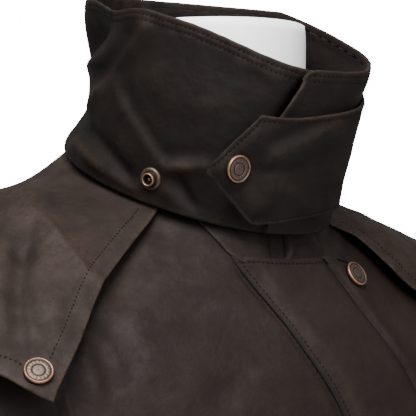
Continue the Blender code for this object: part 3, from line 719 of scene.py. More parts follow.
# Columns: parts of the back's width and of its height from the hem.
BACK_CREASES = (
    (0.10, 0.80, 0.34, 0.70, 14, 2.5), (0.90, 0.81, 0.70, 0.72, 15, 2.2), (0.12, 0.74, 0.30, 0.62, 12, -2.2),
    (0.88, 0.74, 0.73, 0.60, 12, -2.0), (0.30, 0.66, 0.26, 0.40, 18, 2.6), (0.64, 0.64, 0.70, 0.36, 18, 2.4),
    (0.47, 0.60, 0.44, 0.30, 20, -2.4), (0.55, 0.42, 0.60, 0.10, 20, 2.5), (0.20, 0.44, 0.14, 0.12, 20, -2.6),
    (0.82, 0.46, 0.86, 0.14, 20, -2.4), (0.36, 0.34, 0.33, 0.06, 18, 2.6),
    (0.42, 0.86, 0.58, 0.855, 12, -1.2),
)


def panel(start, span, steps):
    """The body's points on a panel: at every row, from its first edge across its span."""
    return body_points(s_rows[:, None], start[:, None] + span[:, None] * steps[None, :])


def lower_hem(base):
    """The relief of the turned hem along a panel's lower edge."""
    return hem_relief(run_of(base, 0), HEM_INSET, run_of(base, 1))


def laid(base, lift, more):
    """Points of the body, moved out by the layers below, by the relief and by more."""
    normal = outward_normals(base)
    return base + normal * (lift + body_relief(base, normal) + more)[..., None]


s_rows = body_rows()
row_heights = front_height(s_rows)
flap_edge_x = lookup(FLAP_EDGE, row_heights)
underlap_x = lookup(UNDERLAP_EDGE, row_heights)
side_edge = armhole_angle(s_rows)

start = angle_at_x(underlap_x, s_rows)
base = panel(start, -(math.pi / 2 - side_edge) - start, edged(170, 0.36))
beside_flap = bump(base[..., 0] - flap_edge_x[:, None], EDGE_GROOVE_AT, EDGE_GROOVE_WIDTH)
below_top = step(-base[..., 2], -FLAP_TOP_Z, -FLAP_TOP_Z + 0.01)
right_front = laid(base, 0.0, lower_hem(base) - EDGE_GROOVE * beside_flap * below_top)
right_front_piece = cloth("right_front_cloth", "front_right", right_front, WALL)

lap = FRONT_LAP * (1 - step(row_heights, FLAP_TOP_Z - 0.010, FLAP_TOP_Z + 0.002))
start = angle_at_x(flap_edge_x + lap, s_rows)
base = panel(start, math.pi / 2 - side_edge - start, edged(142, 0.30))
lift = UNDERLAP_LIFT * (1 - step(base[..., 0] - underlap_x[:, None], 0.004, 0.024))
above_flap = step(base[..., 2], FLAP_TOP_Z - 0.001, FLAP_TOP_Z + 0.003)
stand = above_flap * seen_creases(base, outward_normals(base), STAND_CREASES)
past_seam = base[..., 0] - flap_edge_x[:, None] - FLAP_WIDTH
risen = step(past_seam, -0.0005, 0.0020) * (1 - step(past_seam, 0.004, 0.018))
seam = (1 - above_flap) * (SEAM_RISE * risen - SEAM_GROOVE * bump(past_seam, -0.0004, 0.0020))
left_front = laid(base, lift, lower_hem(base) + stand + seam)
# Painted shade in the troughs of the stand, most in the deep slot under the collar: the colour darkens with a
# trough's depth, fully from 4 mm deep.
stand_painted_shade = -np.clip(-stand / SLOT_PAINTED_SHADE_DEPTH, 0, 1)
left_front_piece = cloth("left_front_cloth", "front_left", left_front, WALL, wear=stand_painted_shade)

start = math.pi / 2 + side_edge
base = panel(start, 2 * math.pi - 2 * start, edged(126, 0.62))
across = run_of(base, 1)
# The back's creases fade at its sides, to meet the fronts. Both side seams stay open by about 1 mm, which is
# two times SEAM.
from_sides = step(np.minimum(across, across[:, -1:] - across), 0.002, 0.030)
back = laid(base, 0.0, lower_hem(base) + from_sides * flat_creases(base, BACK_CREASES))
back_piece = cloth("back_cloth", "back", back, WALL)

top = np.interp(FLAP_TOP_Z, row_heights, s_rows)
flap_rows = np.unique(np.concatenate([
    [0.03, 0.0311, 0.0334, 0.0375],
    s_rows[(s_rows > 0.045) & (s_rows < top - 0.12)],
    top - np.array([0.11, 0.10, 0.09, 0.078, 0.066, 0.054, 0.042, 0.03, 0.018, 0.009, 0.004, 0.0]),
]))
across_flap = edged(34, FLAP_WIDTH, (FLAP_INSET,))[None, :]
flap_x = lookup(FLAP_EDGE, front_height(flap_rows))[:, None] + FLAP_WIDTH * across_flap
base = body_points(flap_rows[:, None], angle_at_x(flap_x, flap_rows[:, None]))
down = run_of(base, 0)
free_edges = np.minimum(run_of(base, 1), down[-1:] - down)
lift = FLAP_LIFT - FLAP_DROP * step(FLAP_WIDTH * across_flap, FRONT_LAP, 0.001)
lift = lift - SEAM_GROOVE * bump(FLAP_WIDTH * (1 - across_flap), 0.0, FLAP_SEAM_WIDTH)
flap = laid(base, lift, 0.6 * hem_relief(free_edges, FLAP_INSET, down))
across = run_of(flap, 1)
# Painted shade: thin dark lines along the flap's free edge and along its seam, for the shadow in the gaps
# there.
flap_painted_shade = -np.exp(-across / EDGE_PAINTED_SHADE) - np.exp(-(across[:, -1:] - across) / SEAM_PAINTED_SHADE)
flap_piece = cloth("storm_flap_cloth", "storm_flap", flap, FLAP_WALL, wear=flap_painted_shade, edge_wear=0.0)

# %% [markdown]
# ## Sleeves
# A sleeve hangs from the armhole's curve. Its creases run round the elbow and down from the armhole, and
# are on the flat cloth's parts, because the picture ends above the sleeves.

# %% Sleeves
# Columns: parts of the way round, from the front up over the outside of the arm, and of the way down.
SLEEVE_CREASES = (
    (0.02, 0.10, 0.20, 0.02, 9, -2.0), (0.06, 0.18, 0.30, 0.08, 10, 2.4), (0.48, 0.04, 0.70, 0.16, 10, 2.2),
    (0.52, 0.14, 0.72, 0.26, 9, -2.0), (0.60, 0.40, 0.95, 0.46, 9, -3.0), (0.58, 0.48, 0.98, 0.52, 8, 2.6),
    (0.62, 0.56, 0.94, 0.58, 9, -2.8), (0.02, 0.50, 0.22, 0.58, 10, 2.2), (0.04, 0.60, 0.26, 0.66, 9, -1.8),
    (0.30, 0.30, 0.34, 0.62, 14, 2.0), (0.10, 0.72, 0.36, 0.78, 10, 1.8), (0.64, 0.72, 0.92, 0.80, 10, -1.9),
)
CUFF_INSET = 0.020


def make_sleeve(side, name, node):
    """The sleeve's tube with its creases and cuff hem; side -1 mirrors it to the wearer's right."""
    rows = edged(118, 0.63, (CUFF_INSET,))
    base = sleeve_points(np.linspace(0, 2 * math.pi, 89), rows)
    if side < 0:
        base[..., 0] *= -1
    normal = outward_normals(base, closed=True)
    down = run_of(base, 0)
    free = step(down, 0.012, 0.05) * step(down[-1:] - down, 0.004, 0.03)
    moved = free * (flat_creases(base, SLEEVE_CREASES) + 0.0016 * unevenness(base, 0.11, 2.0 + side))
    moved = moved + hem_relief(down[-1:] - down, CUFF_INSET, run_of(base, 1))
    moved[:, -1] = moved[:, 0]
    points = base + normal * moved[..., None]
    points[:, -1] = points[:, 0]
    wear = 0.35 * np.clip(moved / 0.002, 0, 1)
    return cloth(name, node, points, WALL, closed=True, wear=wear)


right_sleeve_piece = make_sleeve(-1, "right_sleeve_cloth", "sleeve_right")
left_sleeve_piece = make_sleeve(1, "left_sleeve_cloth", "sleeve_left")

# %% [markdown]
# ## The shoulder cape
# The cape is one panel, sewn in at the neck, that falls over both shoulders. Near its front edge it breaks
# in a sharp fold, from the top of the shoulder down to the hem's turn.

# %% Cape
CAPE_HEM_INSET = 0.0105
# Soft creases that the picture shows, in its pixels.
CAPE_SEEN = (
    (0, 186, 90, 276, 15.0, 2.2),
    (34, 222, 22, 262, 5.0, -2.4), (24, 246, 16, 300, 6.0, -3.4), (14, 290, 26, 356, 6.0, -2.6),
    (4, 236, 0, 330, 7.0, 1.8), (34, 250, 36, 350, 9.0, 1.4), (24, 290, 48, 330, 4.0, -1.4),
    (92, 276, 106, 284, 3.0, 1.2), (52, 354, 66, 364, 2.2, -1.1), (26, 384, 58, 392, 3.0, 0.9),
    (50, 166, 64, 158, 2.4, 2.2), (70, 166, 118, 196, 5.0, 0.8), (46, 190, 84, 236, 8.0, -1.2),
    (62, 300, 84, 322, 5.0, -0.8), (50, 296, 62, 350, 6.0, 0.9),
    (350, 214, 400, 256, 5.0, 1.1), (364, 216, 416, 246, 6.0, -1.0), (350, 204, 416, 232, 7.0, 0.8),
    (316, 200, 420, 262, 24.0, 3.2),
)
# Sharp folds, in pixels too.
CAPE_FOLDS = (
    (10, 188, 62, 242, 4.5, 2.6), (44, 224, 92, 280, 4.0, 2.4), (58, 240, 22, 268, 3.0, -0.9),
    (20, 222, 14, 262, 3.0, -1.2), (60, 318, 88, 300, 3.0, 0.6), (26, 300, 34, 352, 3.0, 0.8),
)
# Columns: parts of the way round from the wearer's left edge, and of the way down from the neck.
CAPE_UNSEEN = (
    (0.08, 0.30, 0.05, 0.85, 9, 2.2), (0.13, 0.35, 0.11, 0.95, 10, -2.6), (0.19, 0.30, 0.18, 0.98, 12, 2.4),
    (0.27, 0.40, 0.28, 0.98, 12, -2.4), (0.35, 0.35, 0.36, 0.98, 13, 2.6), (0.44, 0.45, 0.46, 0.98, 12, -2.2),
    (0.53, 0.40, 0.54, 0.98, 14, 2.4), (0.61, 0.42, 0.63, 0.98, 12, -2.2), (0.69, 0.35, 0.71, 0.98, 12, 2.4),
)
rows = np.concatenate([[-1.0, -0.92, -0.5], edged(88, 0.25, (CAPE_HEM_INSET,))])[:, None]
across = 1 - (1 - edged(364, 1.1, (CAPE_HEM_INSET,))) ** 1.12
edge_left = np.radians(lookup(CAPE_EDGE_LEFT, rows))
edge_right = 2 * math.pi - np.radians(lookup(CAPE_EDGE_RIGHT, rows))
angle = edge_left + (edge_right - edge_left) * across[None, :]
angle = np.where(angle > math.pi, angle - 2 * math.pi, angle)
base = cape_points(rows, angle)
normal = outward_normals(base)
down, along = run_of(base, 0), run_of(base, 1)
free_edges = np.minimum(down[-1:] - down, np.minimum(along, along[:, -1:] - along))
from_neck = step(rows, 0.02, 0.16)
seen = seen_creases(base, normal, CAPE_SEEN) + seen_creases(base, normal, CAPE_FOLDS, 1.0)
moved = from_neck * (seen + flat_creases(base, CAPE_UNSEEN) + 0.0012 * unevenness(base, 0.12, 0.4))
beside = np.where(down[-1:] - down < 0.02, along, down)
moved = moved + hem_relief(free_edges, CAPE_HEM_INSET, beside) * from_neck
cape = base + normal * moved[..., None]
wear = 0.45 * np.clip(seen / 0.0022, 0, 1)
cape_piece = cloth("shoulder_cape_cloth", "cape", cape, WALL, wear=wear)

# %% [markdown]
# ## Collar and throat tab
# The collar's big fold is in its measured surface already. The softer creases around it, and those that
# the pull of the snap makes in the tab, are pressed in here.

# %% Collar
# Metres that space its grid: the collar's height, its way round, its radius, and extra rows below the rim.
COLLAR_HEIGHT, COLLAR_GIRTH, COLLAR_RADIUS = 0.112, 0.57, 0.086
RIM_ROWS = (0.0020, 0.0030, 0.0040, 0.0054, 0.0064, 0.0074)
RIM_STITCHES = (0.0030, 0.0064)
# The top corner of its end is rounded: a drop in parts of the height, over this many metres.
CORNER_DROP, CORNER_LENGTH = 0.075, 0.009
SLIM_LEFT, SLIM_RIGHT = 0.0045, 0.0050  # how far the collar is drawn in at each side
END_SLANT = 24.0  # degrees that the top end leans for each collar height, down to under the tab
END_DIP, END_DIP_ANGLE, END_DIP_WIDTH = 0.0052, -10.5, 3.6  # beside that end; metres and degrees
# Sharp folds, in the picture's pixels.
COLLAR_FOLDS = (
    (146, 24, 112, 72, 4.0, 1.9), (112, 72, 84, 112, 4.0, 1.6), (112, 76, 128, 116, 3.0, 0.9),
    (124, 108, 168, 172, 3.5, 1.1), (84, 124, 134, 186, 4.0, -1.6), (68, 134, 102, 172, 3.5, 1.3),
    (98, 166, 140, 194, 3.5, 1.1), (166, 168, 222, 166, 3.0, 1.1),
    (198, 110, 260, 92, 5.0, 0.5), (176, 176, 200, 220, 3.0, -1.2),
)


def collar_slimming(near, height):
    """The collar hugs the neck at both sides: two shallow hollows, each a bell curve of angle and height."""
    left_side = SLIM_LEFT * bump(near, 54.0, 30.0) * step(height, 0.96, 0.70)
    right_side = SLIM_RIGHT * bump(near, -126.0, 26.0) * bump(height, 0.36, 0.34)
    return -left_side - right_side


# Soft creases, in pixels too.
COLLAR_SEEN = (
    (150, 20, 120, 60, 4.5, 1.8), (120, 58, 84, 112, 4.0, 1.8), (128, 22, 96, 84, 9.0, -5.2),
    (112, 74, 126, 112, 3.6, 1.0), (124, 108, 166, 170, 4.2, 1.2), (122, 84, 138, 122, 3.8, -1.3),
    (138, 118, 166, 164, 4.2, -1.7), (82, 126, 108, 152, 4.2, -1.9), (106, 148, 132, 184, 4.6, -2.2),
    (68, 138, 100, 170, 4.6, 1.5), (98, 168, 138, 192, 4.0, 1.3), (160, 166, 214, 169, 3.6, 1.4),
    (160, 157, 222, 150, 5.0, -1.0), (174, 178, 197, 217, 4.0, -1.9), (160, 184, 186, 214, 4.0, 1.1),
    (196, 192, 226, 214, 8.0, -1.4), (150, 60, 176, 120, 11.0, 0.8), (196, 54, 262, 96, 12.0, -0.7),
    (196, 108, 262, 92, 7.0, 0.6), (146, 96, 190, 140, 9.0, -0.7), (250, 60, 284, 84, 5.0, 0.8),
    (306, 78, 352, 84, 5.0, 0.5), (312, 100, 350, 94, 4.0, -0.5), (340, 44, 330, 84, 4.0, 1.0),
    (318, 36, 312, 80, 4.0, -0.9),
)
columns = COLLAR_START + (COLLAR_END - COLLAR_START) * edged(300, COLLAR_GIRTH)[None, :]
heights = np.concatenate([edged(58, COLLAR_HEIGHT), 1 - np.array(RIM_ROWS) / COLLAR_HEIGHT])
heights = np.unique(np.round(heights, 5))[:, None]
from_end = np.radians(columns[0] - COLLAR_END) * COLLAR_RADIUS
from_end = np.clip(from_end / CORNER_LENGTH, 0.05, 1)
corner = CORNER_DROP * (1 - np.sqrt(1 - (1 - from_end) ** 2))
lap = COLLAR_LAP * step(-columns, 318, 352)
end_lean = END_SLANT * np.clip(0.93 - heights, 0, 0.38) * step(heights, 0.15, 0.50)
columns = columns - end_lean * np.exp((COLLAR_END - columns) / 10)
base = collar_points(columns, heights * (1 - corner[None, :] * heights**6), lap)
normal = outward_normals(base)
near = (columns + 180) % 360 - 180
under_tab = step(near, -46, -34) * (1 - step(near, 84, 92)) * (1 - step(heights, 0.74, 0.84))
lapped = step(near, -22, -10) * (1 - step(near, 38, 48))
seen = seen_creases(base, normal, COLLAR_SEEN) + seen_creases(base, normal, COLLAR_FOLDS, 1.0)
# Columns: parts of the way round, the wearer's left end first, and of the way up.
COLLAR_UNSEEN = (
    (0.40, 0.10, 0.44, 0.80, 6, 1.6), (0.47, 0.05, 0.50, 0.70, 7, -1.8), (0.55, 0.10, 0.53, 0.85, 6, 1.5),
    (0.62, 0.08, 0.66, 0.60, 6, -1.6), (0.70, 0.10, 0.69, 0.80, 6, 1.4), (0.77, 0.15, 0.80, 0.75, 5, -1.3),
)
moved = seen + flat_creases(base, COLLAR_UNSEEN) + 0.0005 * unevenness(base, 0.06, 0.9)
moved = moved * (1 - under_tab) * (1 - lapped) * step(heights, 0.0, 0.10)
down, along = run_of(base, 0), run_of(base, 1)
from_rim, from_top_end = down[-1:] - down, along[:, -1:] - along
rim = sum(-0.00025 * bump(from_rim, inset, 0.0008) for inset in RIM_STITCHES)
pucker = 0.0003 * puckers(along, 0.013, 70) * bump(from_rim, 0.0045, 0.004)
moved = moved + rim + pucker
beside_end = bump(near, END_DIP_ANGLE - end_lean, END_DIP_WIDTH) * step(columns, -90, -60)
dip = -END_DIP * beside_end * step(heights, 0.30, 0.62) * step(heights, 0.98, 0.86)
moved = moved + dip + 0.0008 * bump(from_top_end, 0.0, 0.004) + collar_slimming(near, heights)
collar = base + normal * moved[..., None]
wear = 0.45 * np.clip(seen / 0.0018, 0, 1) + 0.35 * bump(from_rim, 0.0, 0.004)
collar_piece = cloth("stand_collar_cloth", "collar", collar, COLLAR_WALL, wear=wear)

# %% Throat tab
TAB_INSET = 0.0028
TAB_SLANT = 1.45  # distance along the tip's slanted edges for each distance square to them
# The tip stands off the collar, and the cloth under its cap tilts, over a bell of this reach.
TAB_TIP_LIFT, SNAP_TILT, SNAP_TILT_REACH = 0.0070, 0.64, 0.0085
THROAT_SNAP = (237, 171)  # the cap's middle in the picture
TAB_SEEN = (
    (258, 164, 345, 120, 4.4, 1.9), (270, 144, 334, 118, 4.0, -1.5), (254, 174, 330, 164, 3.8, -1.4),
    (252, 158, 300, 146, 4.0, -0.7), (256, 194, 330, 184, 7.0, 0.8), (350, 146, 338, 186, 2.6, 0.9),
    (246, 182, 262, 214, 4.0, 0.6), (290, 176, 330, 196, 5.0, -0.5), (244, 150, 262, 128, 4.0, 0.5),
)


def tapered(angle, corner_at):
    """The tab's share of its full height: a straight rise from its blunt tip to a corner."""
    return 0.06 + 0.94 * np.clip((angle - TAB_TIP) / (corner_at - TAB_TIP), 0, 1)


tip_part = np.linspace(TAB_TIP, TAB_LOW_CORNER, 36)
close_tip = TAB_TIP + np.array([0.2, 0.6])
strap = np.linspace(TAB_LOW_CORNER, TAB_END, 96)[1:]
columns = np.concatenate([tip_part, close_tip, [TAB_HIGH_CORNER], strap, [TAB_END - 0.2]])
columns = np.unique(np.round(columns, 4))
low = TAB_TIP_HEIGHT + (lookup(TAB_LOW, columns) - TAB_TIP_HEIGHT) * tapered(columns, TAB_LOW_CORNER)
high = TAB_TIP_HEIGHT + (lookup(TAB_HIGH, columns) - TAB_TIP_HEIGHT) * tapered(columns, TAB_HIGH_CORNER)
heights = low + (high - low) * edged(38, 0.066, (TAB_INSET,))[:, None]
over_lap = COLLAR_LAP * (1 - step(columns, 8, 42))
lap = over_lap + TAB_WALL + AIR + TAB_TIP_LIFT * step(-columns, -6, 42)
base = collar_points(columns[None, :], heights, lap[None, :])
normal = outward_normals(base)
down, along = run_of(base, 0), run_of(base, 1)
slant = np.where(columns < TAB_HIGH_CORNER, TAB_SLANT, 1.0)
to_edge = np.minimum(np.minimum(down, down[-1:] - down) / slant, along)
seen = seen_creases(base, normal, TAB_SEEN)
moved = seen * step(to_edge, 0.0, 0.006) + 0.0003 * unevenness(base, 0.04, 2.2)
moved = moved - 0.00025 * bump(to_edge, TAB_INSET, 0.0009)
moved = moved + 0.0005 * step(to_edge, TAB_INSET, TAB_INSET + 0.006)
x, y, pixel = in_picture(base)
sideways, upwards = (x - THROAT_SNAP[0]) * pixel, (y - THROAT_SNAP[1]) * pixel
moved = moved - SNAP_TILT * sideways * np.exp(-(sideways**2 + upwards**2) / (2 * SNAP_TILT_REACH**2))
moved = moved + collar_slimming(columns[None, :], heights)
tab = base + normal * moved[..., None]
wear = 0.35 * np.clip(seen / 0.001, 0, 1)
tab_piece = cloth("throat_tab_cloth", "throat_tab", tab, TAB_WALL, wear=wear)

# %% [markdown]
# ## Rows of stitches
# Each row is a line a fixed distance inside an edge of a grid that is already made, so the threads lie in
# the grooves that were pressed for them.

# %% Sew the rows


def sew_row(group, node, side, inset, start=0.0, end=1.0):
    """A row of stitches inside one edge of a finished piece."""
    stitches(group, *inset_line(grids[node], side, inset, start, end))


for inset in RIM_STITCHES:
    sew_row("collar", "collar", "bottom", inset, 0.0, 0.985)
tab_slant_low = np.where(columns < TAB_LOW_CORNER, TAB_SLANT, 1.0)
sew_row("tab", "throat_tab", "top", TAB_INSET * tab_slant_low, 0.04, 1.0)
sew_row("tab", "throat_tab", "bottom", TAB_INSET * slant, 0.04, 1.0)
sew_row("cape", "cape", "first", CAPE_HEM_INSET, 0.12, 0.99)
sew_row("cape", "cape", "last", CAPE_HEM_INSET, 0.12, 0.955)
sew_row("cape", "cape", "bottom", CAPE_HEM_INSET, 0.01, 0.99)
sew_row("flap", "storm_flap", "bottom", FLAP_INSET, 0.05, 1.0)
sew_row("flap", "storm_flap", "first", FLAP_INSET, 0.0, 0.985)
for node in ("front_right", "front_left", "back"):
    sew_row("hem", node, "top", HEM_INSET)
for node in ("sleeve_right", "sleeve_left"):
    sew_row("cuffs", node, "bottom", CUFF_INSET)

# %% Bar tacks at the top of the flap's seam
# Each tack is a short zigzag. Its two ends are pixels of the picture, found again on the left front.
TACK_PROUD = 0.0002  # metres that its threads stand off the cloth
BAR_TACKS = ((322, 259.5, 333, 261.5), (337, 259.5, 347, 262.5))


def tack(group, node, x0, y0, x1, y1, zigs=5, width=2.6):
    """A zigzag from end to end: the nearest points of a piece to each of its corners in the picture."""
    points, normal = grids[node]
    x, y, pixel = in_picture(points)
    part = np.linspace(0, 1, 2 * zigs + 1)
    swing = width / 2 * np.where(np.arange(2 * zigs + 1) % 2, 1, -1)
    corners = np.stack([x0 + (x1 - x0) * part, y0 + (y1 - y0) * part + swing], -1)
    path = []
    for cx, cy in corners:
        weight = np.exp(-((x - cx) ** 2 + (y - cy) ** 2) / 2.0) * (normal @ towards_eye > 0)
        path.append((points * weight[..., None]).sum((0, 1)) / weight.sum())
    path = np.array(path)
    tail, head = path[:-1], path[1:]
    middle = path.mean(0)
    nearest = ((points - middle) ** 2).sum(-1).argmin()
    up = np.broadcast_to(normal.reshape(-1, 3)[nearest], tail.shape)
    thread_groups.setdefault(group, []).append((tail + up * TACK_PROUD, head + up * TACK_PROUD, up))


tack("flap", "storm_flap", *BAR_TACKS[0])
tack("flap", "front_left", *BAR_TACKS[1])

thread_pieces = {
    "collar": sew("collar_stitching", "collar", 0.6),
    "tab": sew("tab_stitching", "tab", 0.6),
    "cape": sew("cape_stitching", "cape", 0.8),
    "flap": sew("flap_stitching", "flap", 0.7),
    "hem": sew("hem_stitching", "hem"),
    "cuffs": sew("cuff_stitching", "cuffs"),
}

# %% [markdown]
# ## Snap fasteners
# A snap cap is stamped from sheet: a rolled rim, a sunk ring and a raised middle. It is a turned shape, so a
# profile of radius and height is swept round an axis. The sunk ring carries a plain row of fine beads.
# Each cap sits on the cloth at the place of its solid.

# %% Snap shapes
SNAP_RADIUS, POST_RADIUS = 0.0076, 0.0064
BEAD_HEIGHT, BEAD_RING, BEAD_WIDTH = 0.14, 0.66, 0.06  # mm, then parts of the radius
# Columns: part of the radius, height in mm, wear of the metal there.
CAP_PROFILE = (
    (0.00, 2.72, 0.50), (0.18, 2.71, 0.52), (0.34, 2.66, 0.55), (0.40, 2.52, 0.30), (0.43, 2.40, 0.08),
    (0.47, 2.40, 0.12), (0.52, 2.56, 0.50), (0.62, 2.58, 0.50), (0.72, 2.50, 0.46), (0.78, 2.34, 0.10),
    (0.82, 2.34, 0.12), (0.88, 2.62, 0.75), (0.93, 2.66, 1.00), (0.98, 2.30, 0.95), (1.00, 1.80, 0.60),
    (0.99, 1.00, 0.15), (0.97, 0.10, 0.00), (0.90, -0.30, 0.00), (0.00, -0.30, 0.00),
)
POST_PROFILE = (
    (0.00, 2.10, 0.95), (0.10, 2.05, 0.90), (0.16, 1.60, 0.30), (0.18, 0.50, 0.00), (0.38, 0.40, 0.00),
    (0.42, 1.20, 0.00), (0.44, 3.20, 0.60), (0.48, 3.75, 1.00), (0.54, 3.80, 1.00), (0.60, 3.40, 0.80),
    (0.63, 2.20, 0.10), (0.67, 1.30, 0.00), (0.78, 1.35, 0.35), (0.90, 1.30, 0.50), (0.98, 0.95, 0.55),
    (1.00, 0.50, 0.30), (0.98, -0.20, 0.00), (0.00, -0.30, 0.00),
)


def closed_solid(name, node, rings, poles, value=None):
    """A closed solid: quads between rings of points, and at each end quads round a pole. Its volume, a sum
    of triple products, tells whether its faces have to be turned over."""
    count, around = rings.shape[:2]
    index = np.arange(count * around).reshape(count, around)
    half = np.arange(0, around, 2)
    over = (half + 2) % around
    pole = np.full(len(half), count * around)
    last = index[-1, 0]
    cap = np.stack([pole, half, half + 1, over], -1)
    foot = np.stack([pole + 1, last + over, last + half + 1, last + half], -1)
    places = np.concatenate([rings.reshape(-1, 3), poles])
    faces = np.concatenate([tube_faces(index), cap, foot])
    corner = places[faces] - places.mean(0)
    inside = (corner[:, 0] * np.cross(corner[:, 1] - corner[:, 3], corner[:, 2])).sum()
    if inside < 0:
        faces = faces[:, ::-1]
    return mesh_piece(name, places, faces, node, value=value)


def turned_piece(name, node, profile, radius, centre, axis, beads=0, around=64):
    """A profile swept round an axis: a spline through its rows gives radius, height and wear, and beads add
    a fine wave of height to the sunk ring."""
    at = np.linspace(0, len(profile) - 1, 4 * (len(profile) - 1) + 1)
    r, h, worn = np.moveaxis(spline(profile, at), -1, 0)
    r = np.clip(r, 0, None)
    r[0] = r[-1] = 0
    turn = np.linspace(0, 2 * math.pi, around, endpoint=False)
    beaded = beads * BEAD_HEIGHT * bump(r, BEAD_RING, BEAD_WIDTH)[:, None]
    h = h[:, None] + beaded * np.cos(turn * around / 4)[None, :]
    axis = unit(np.asarray(axis, float))
    first = unit(np.cross(axis, (0.0, 0.0, 1.0) if abs(axis[2]) < 0.9 else (1.0, 0.0, 0.0)))
    second = np.cross(axis, first)
    spoke = first * np.cos(turn)[:, None] + second * np.sin(turn)[:, None]
    rings = centre + radius * r[1:-1, None, None] * spoke[None] + 0.001 * h[1:-1, :, None] * axis
    poles = centre + 0.001 * np.array([h[0].mean(), h[-1].mean()])[:, None] * axis
    value = np.concatenate([np.repeat(worn[1:-1], around), [worn[0], worn[-1]]])
    return closed_solid(name, node, rings, poles, value)


# %% Set the snaps on the cloth
# Columns: node, the node of the cloth under it, height profile, radius.
SNAPS = [
    ("throat_snap_cap", "throat_tab", CAP_PROFILE, SNAP_RADIUS),
    ("collar_snap_post", "collar", POST_PROFILE, POST_RADIUS),
    ("cape_snap_cap_right", "cape", CAP_PROFILE, SNAP_RADIUS),
    ("cape_snap_cap_left", "cape", CAP_PROFILE, SNAP_RADIUS),
]
SNAPS += [(f"front_snap_cap_{k}", "front_left", CAP_PROFILE, SNAP_RADIUS) for k in range(1, 7)]
# The tab's tip stands off the collar here, so its cap moves and leans with it.
NUDGED = {"throat_snap_cap": np.array([-0.0036, 0.0026, 0.0])}
LEANING = {"throat_snap_cap": np.array([0.19, -0.14, 0.0])}
# Radii within which the cloth gives a cap its seat, and its direction on the creased left front.
SEAT_REACH, FRONT_REACH = 0.8, 3.0
snap_pieces = []
for node, under, profile, radius in SNAPS:
    low_corner, high_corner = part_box(node)
    middle = np.array((low_corner + high_corner) / 2) + NUDGED.get(node, 0.0)
    points, normal = grids[under]
    gap = ((points - middle) ** 2).sum(-1)
    near = gap < (SEAT_REACH * radius) ** 2 + gap.min()
    wide = gap < (FRONT_REACH * radius) ** 2 + gap.min() if under == "front_left" else near
    axis = unit(normal[wide].mean(0) + LEANING.get(node, 0.0))
    seat = middle + axis * ((points[near] - middle) @ axis).max()
    beads = int(profile is CAP_PROFILE)
    snap_pieces.append(turned_piece(node + "_stamped", node, profile, radius, seat, axis, beads))
print(len(snap_pieces), "snaps")

# %% [markdown]
# ## The dress form and its stand
# Under the coat is a smooth white form with a flat-topped neck, on a pole with a round base. Its shoulders
# carry the coat, so there its surface is the body's own, moved in by the cloth's thickness.

# %% Form and stand
FORM_CLEAR = WALL + AIR
FORM_TRUNK = (
    level(0.158, FORM_BOTTOM, 0.105, 0.105, 2.1),
    level(0.166, FORM_BOTTOM + 0.006, 0.112, 0.112, 2.1),
    level(0.168, 0.93, 0.115, 0.116, 2.1),
    level(0.152, 1.06, 0.108, 0.098, 2.1),
    level(0.176, 1.21, 0.122, 0.108, 2.1),
    (0.186, 1.31, 0.124, 1.28, 0.110, 1.30, 2.1, 0.000, 2.0, 0.000),
    (0.186, 1.358, 0.122, 1.326, 0.102, 1.355, 2.1, -0.003, 2.0, 0.000),
)
FORM_NECK = (
    on_neck(0.0635, 0.0765, -0.0065),
    (0.0600, 1.460, 0.068, 1.436, 0.066, 1.482, 2.0, -0.030, 1.0, -0.005),
    (0.0570, 1.485, 0.060, 1.470, 0.058, 1.500, 2.0, -0.031, 1.0, -0.001),
    (0.0570, NECK_TOP - 0.004, 0.058, NECK_TOP - 0.004, 0.056, NECK_TOP - 0.004, 2.0, -0.032, 1.0, 0.000),
    (0.0535, NECK_TOP, 0.0545, NECK_TOP, 0.0525, NECK_TOP, 2.0, -0.032, 1.0, 0.000),
)


def solid_piece(name, node, rings):
    """A closed solid from rings, with smaller rings added at each end, down to the middle point."""
    low, high = rings[0].mean(0), rings[-1].mean(0)
    shrink = np.array([0.98, 0.9, 0.6, 0.3])[:, None, None]
    below = (low + (rings[0] - low) * shrink)[::-1]
    above = high + (rings[-1] - high) * shrink
    return closed_solid(name, node, np.concatenate([below, rings, above]), [low, high])


turn = np.linspace(-math.pi, math.pi, 120, endpoint=False)[None, :]
trunk_rows = np.concatenate([[0, 0.3, 0.6], np.linspace(1, 6, 36)])[:, None]
carried_rows = np.linspace(6.42, 7.5, 14)[:, None]  # rows of BODY_RINGS, over the shoulders
carried = body_points(carried_rows, turn)
wrapped = np.concatenate([carried[:, -1:], carried, carried[:, :1]], axis=1)
inwards = normals_of(wrapped)[:, 1:-1]
inwards = inwards * -np.sign(inwards[0, 60] @ np.array([0, -1.0, 0.5]))
carried = carried + FORM_CLEAR * inwards
neck_rows = np.concatenate([np.linspace(0, 3, 24), [3.25, 3.5, 3.75, 4.0]])[:, None]
neck = ring_points(FORM_NECK, neck_rows, turn)
form_rings = np.concatenate([ring_points(FORM_TRUNK, trunk_rows, turn), carried, neck])
form_piece = solid_piece("form_body", "form_torso", form_rings)

# Columns: part of the radius, height in mm, wear.
BASE_PROFILE = (
    (0.0, 22.0, 0.0), (0.06, 22.0, 0.0), (0.12, 21.9, 0.0), (0.30, 20.2, 0.0), (0.50, 17.4, 0.0),
    (0.72, 13.4, 0.0), (0.90, 9.8, 0.0), (0.97, 7.4, 0.0), (1.0, 4.0, 0.0), (0.995, 1.2, 0.0),
    (0.985, 0.0, 0.0), (0.60, 0.0, 0.0), (0.0, 0.0, 0.0),
)
base_piece = turned_piece(
    "stand_base", "form_base", BASE_PROFILE, BASE_RADIUS, np.zeros(3), (0, 0, 1),
    around=96,
)
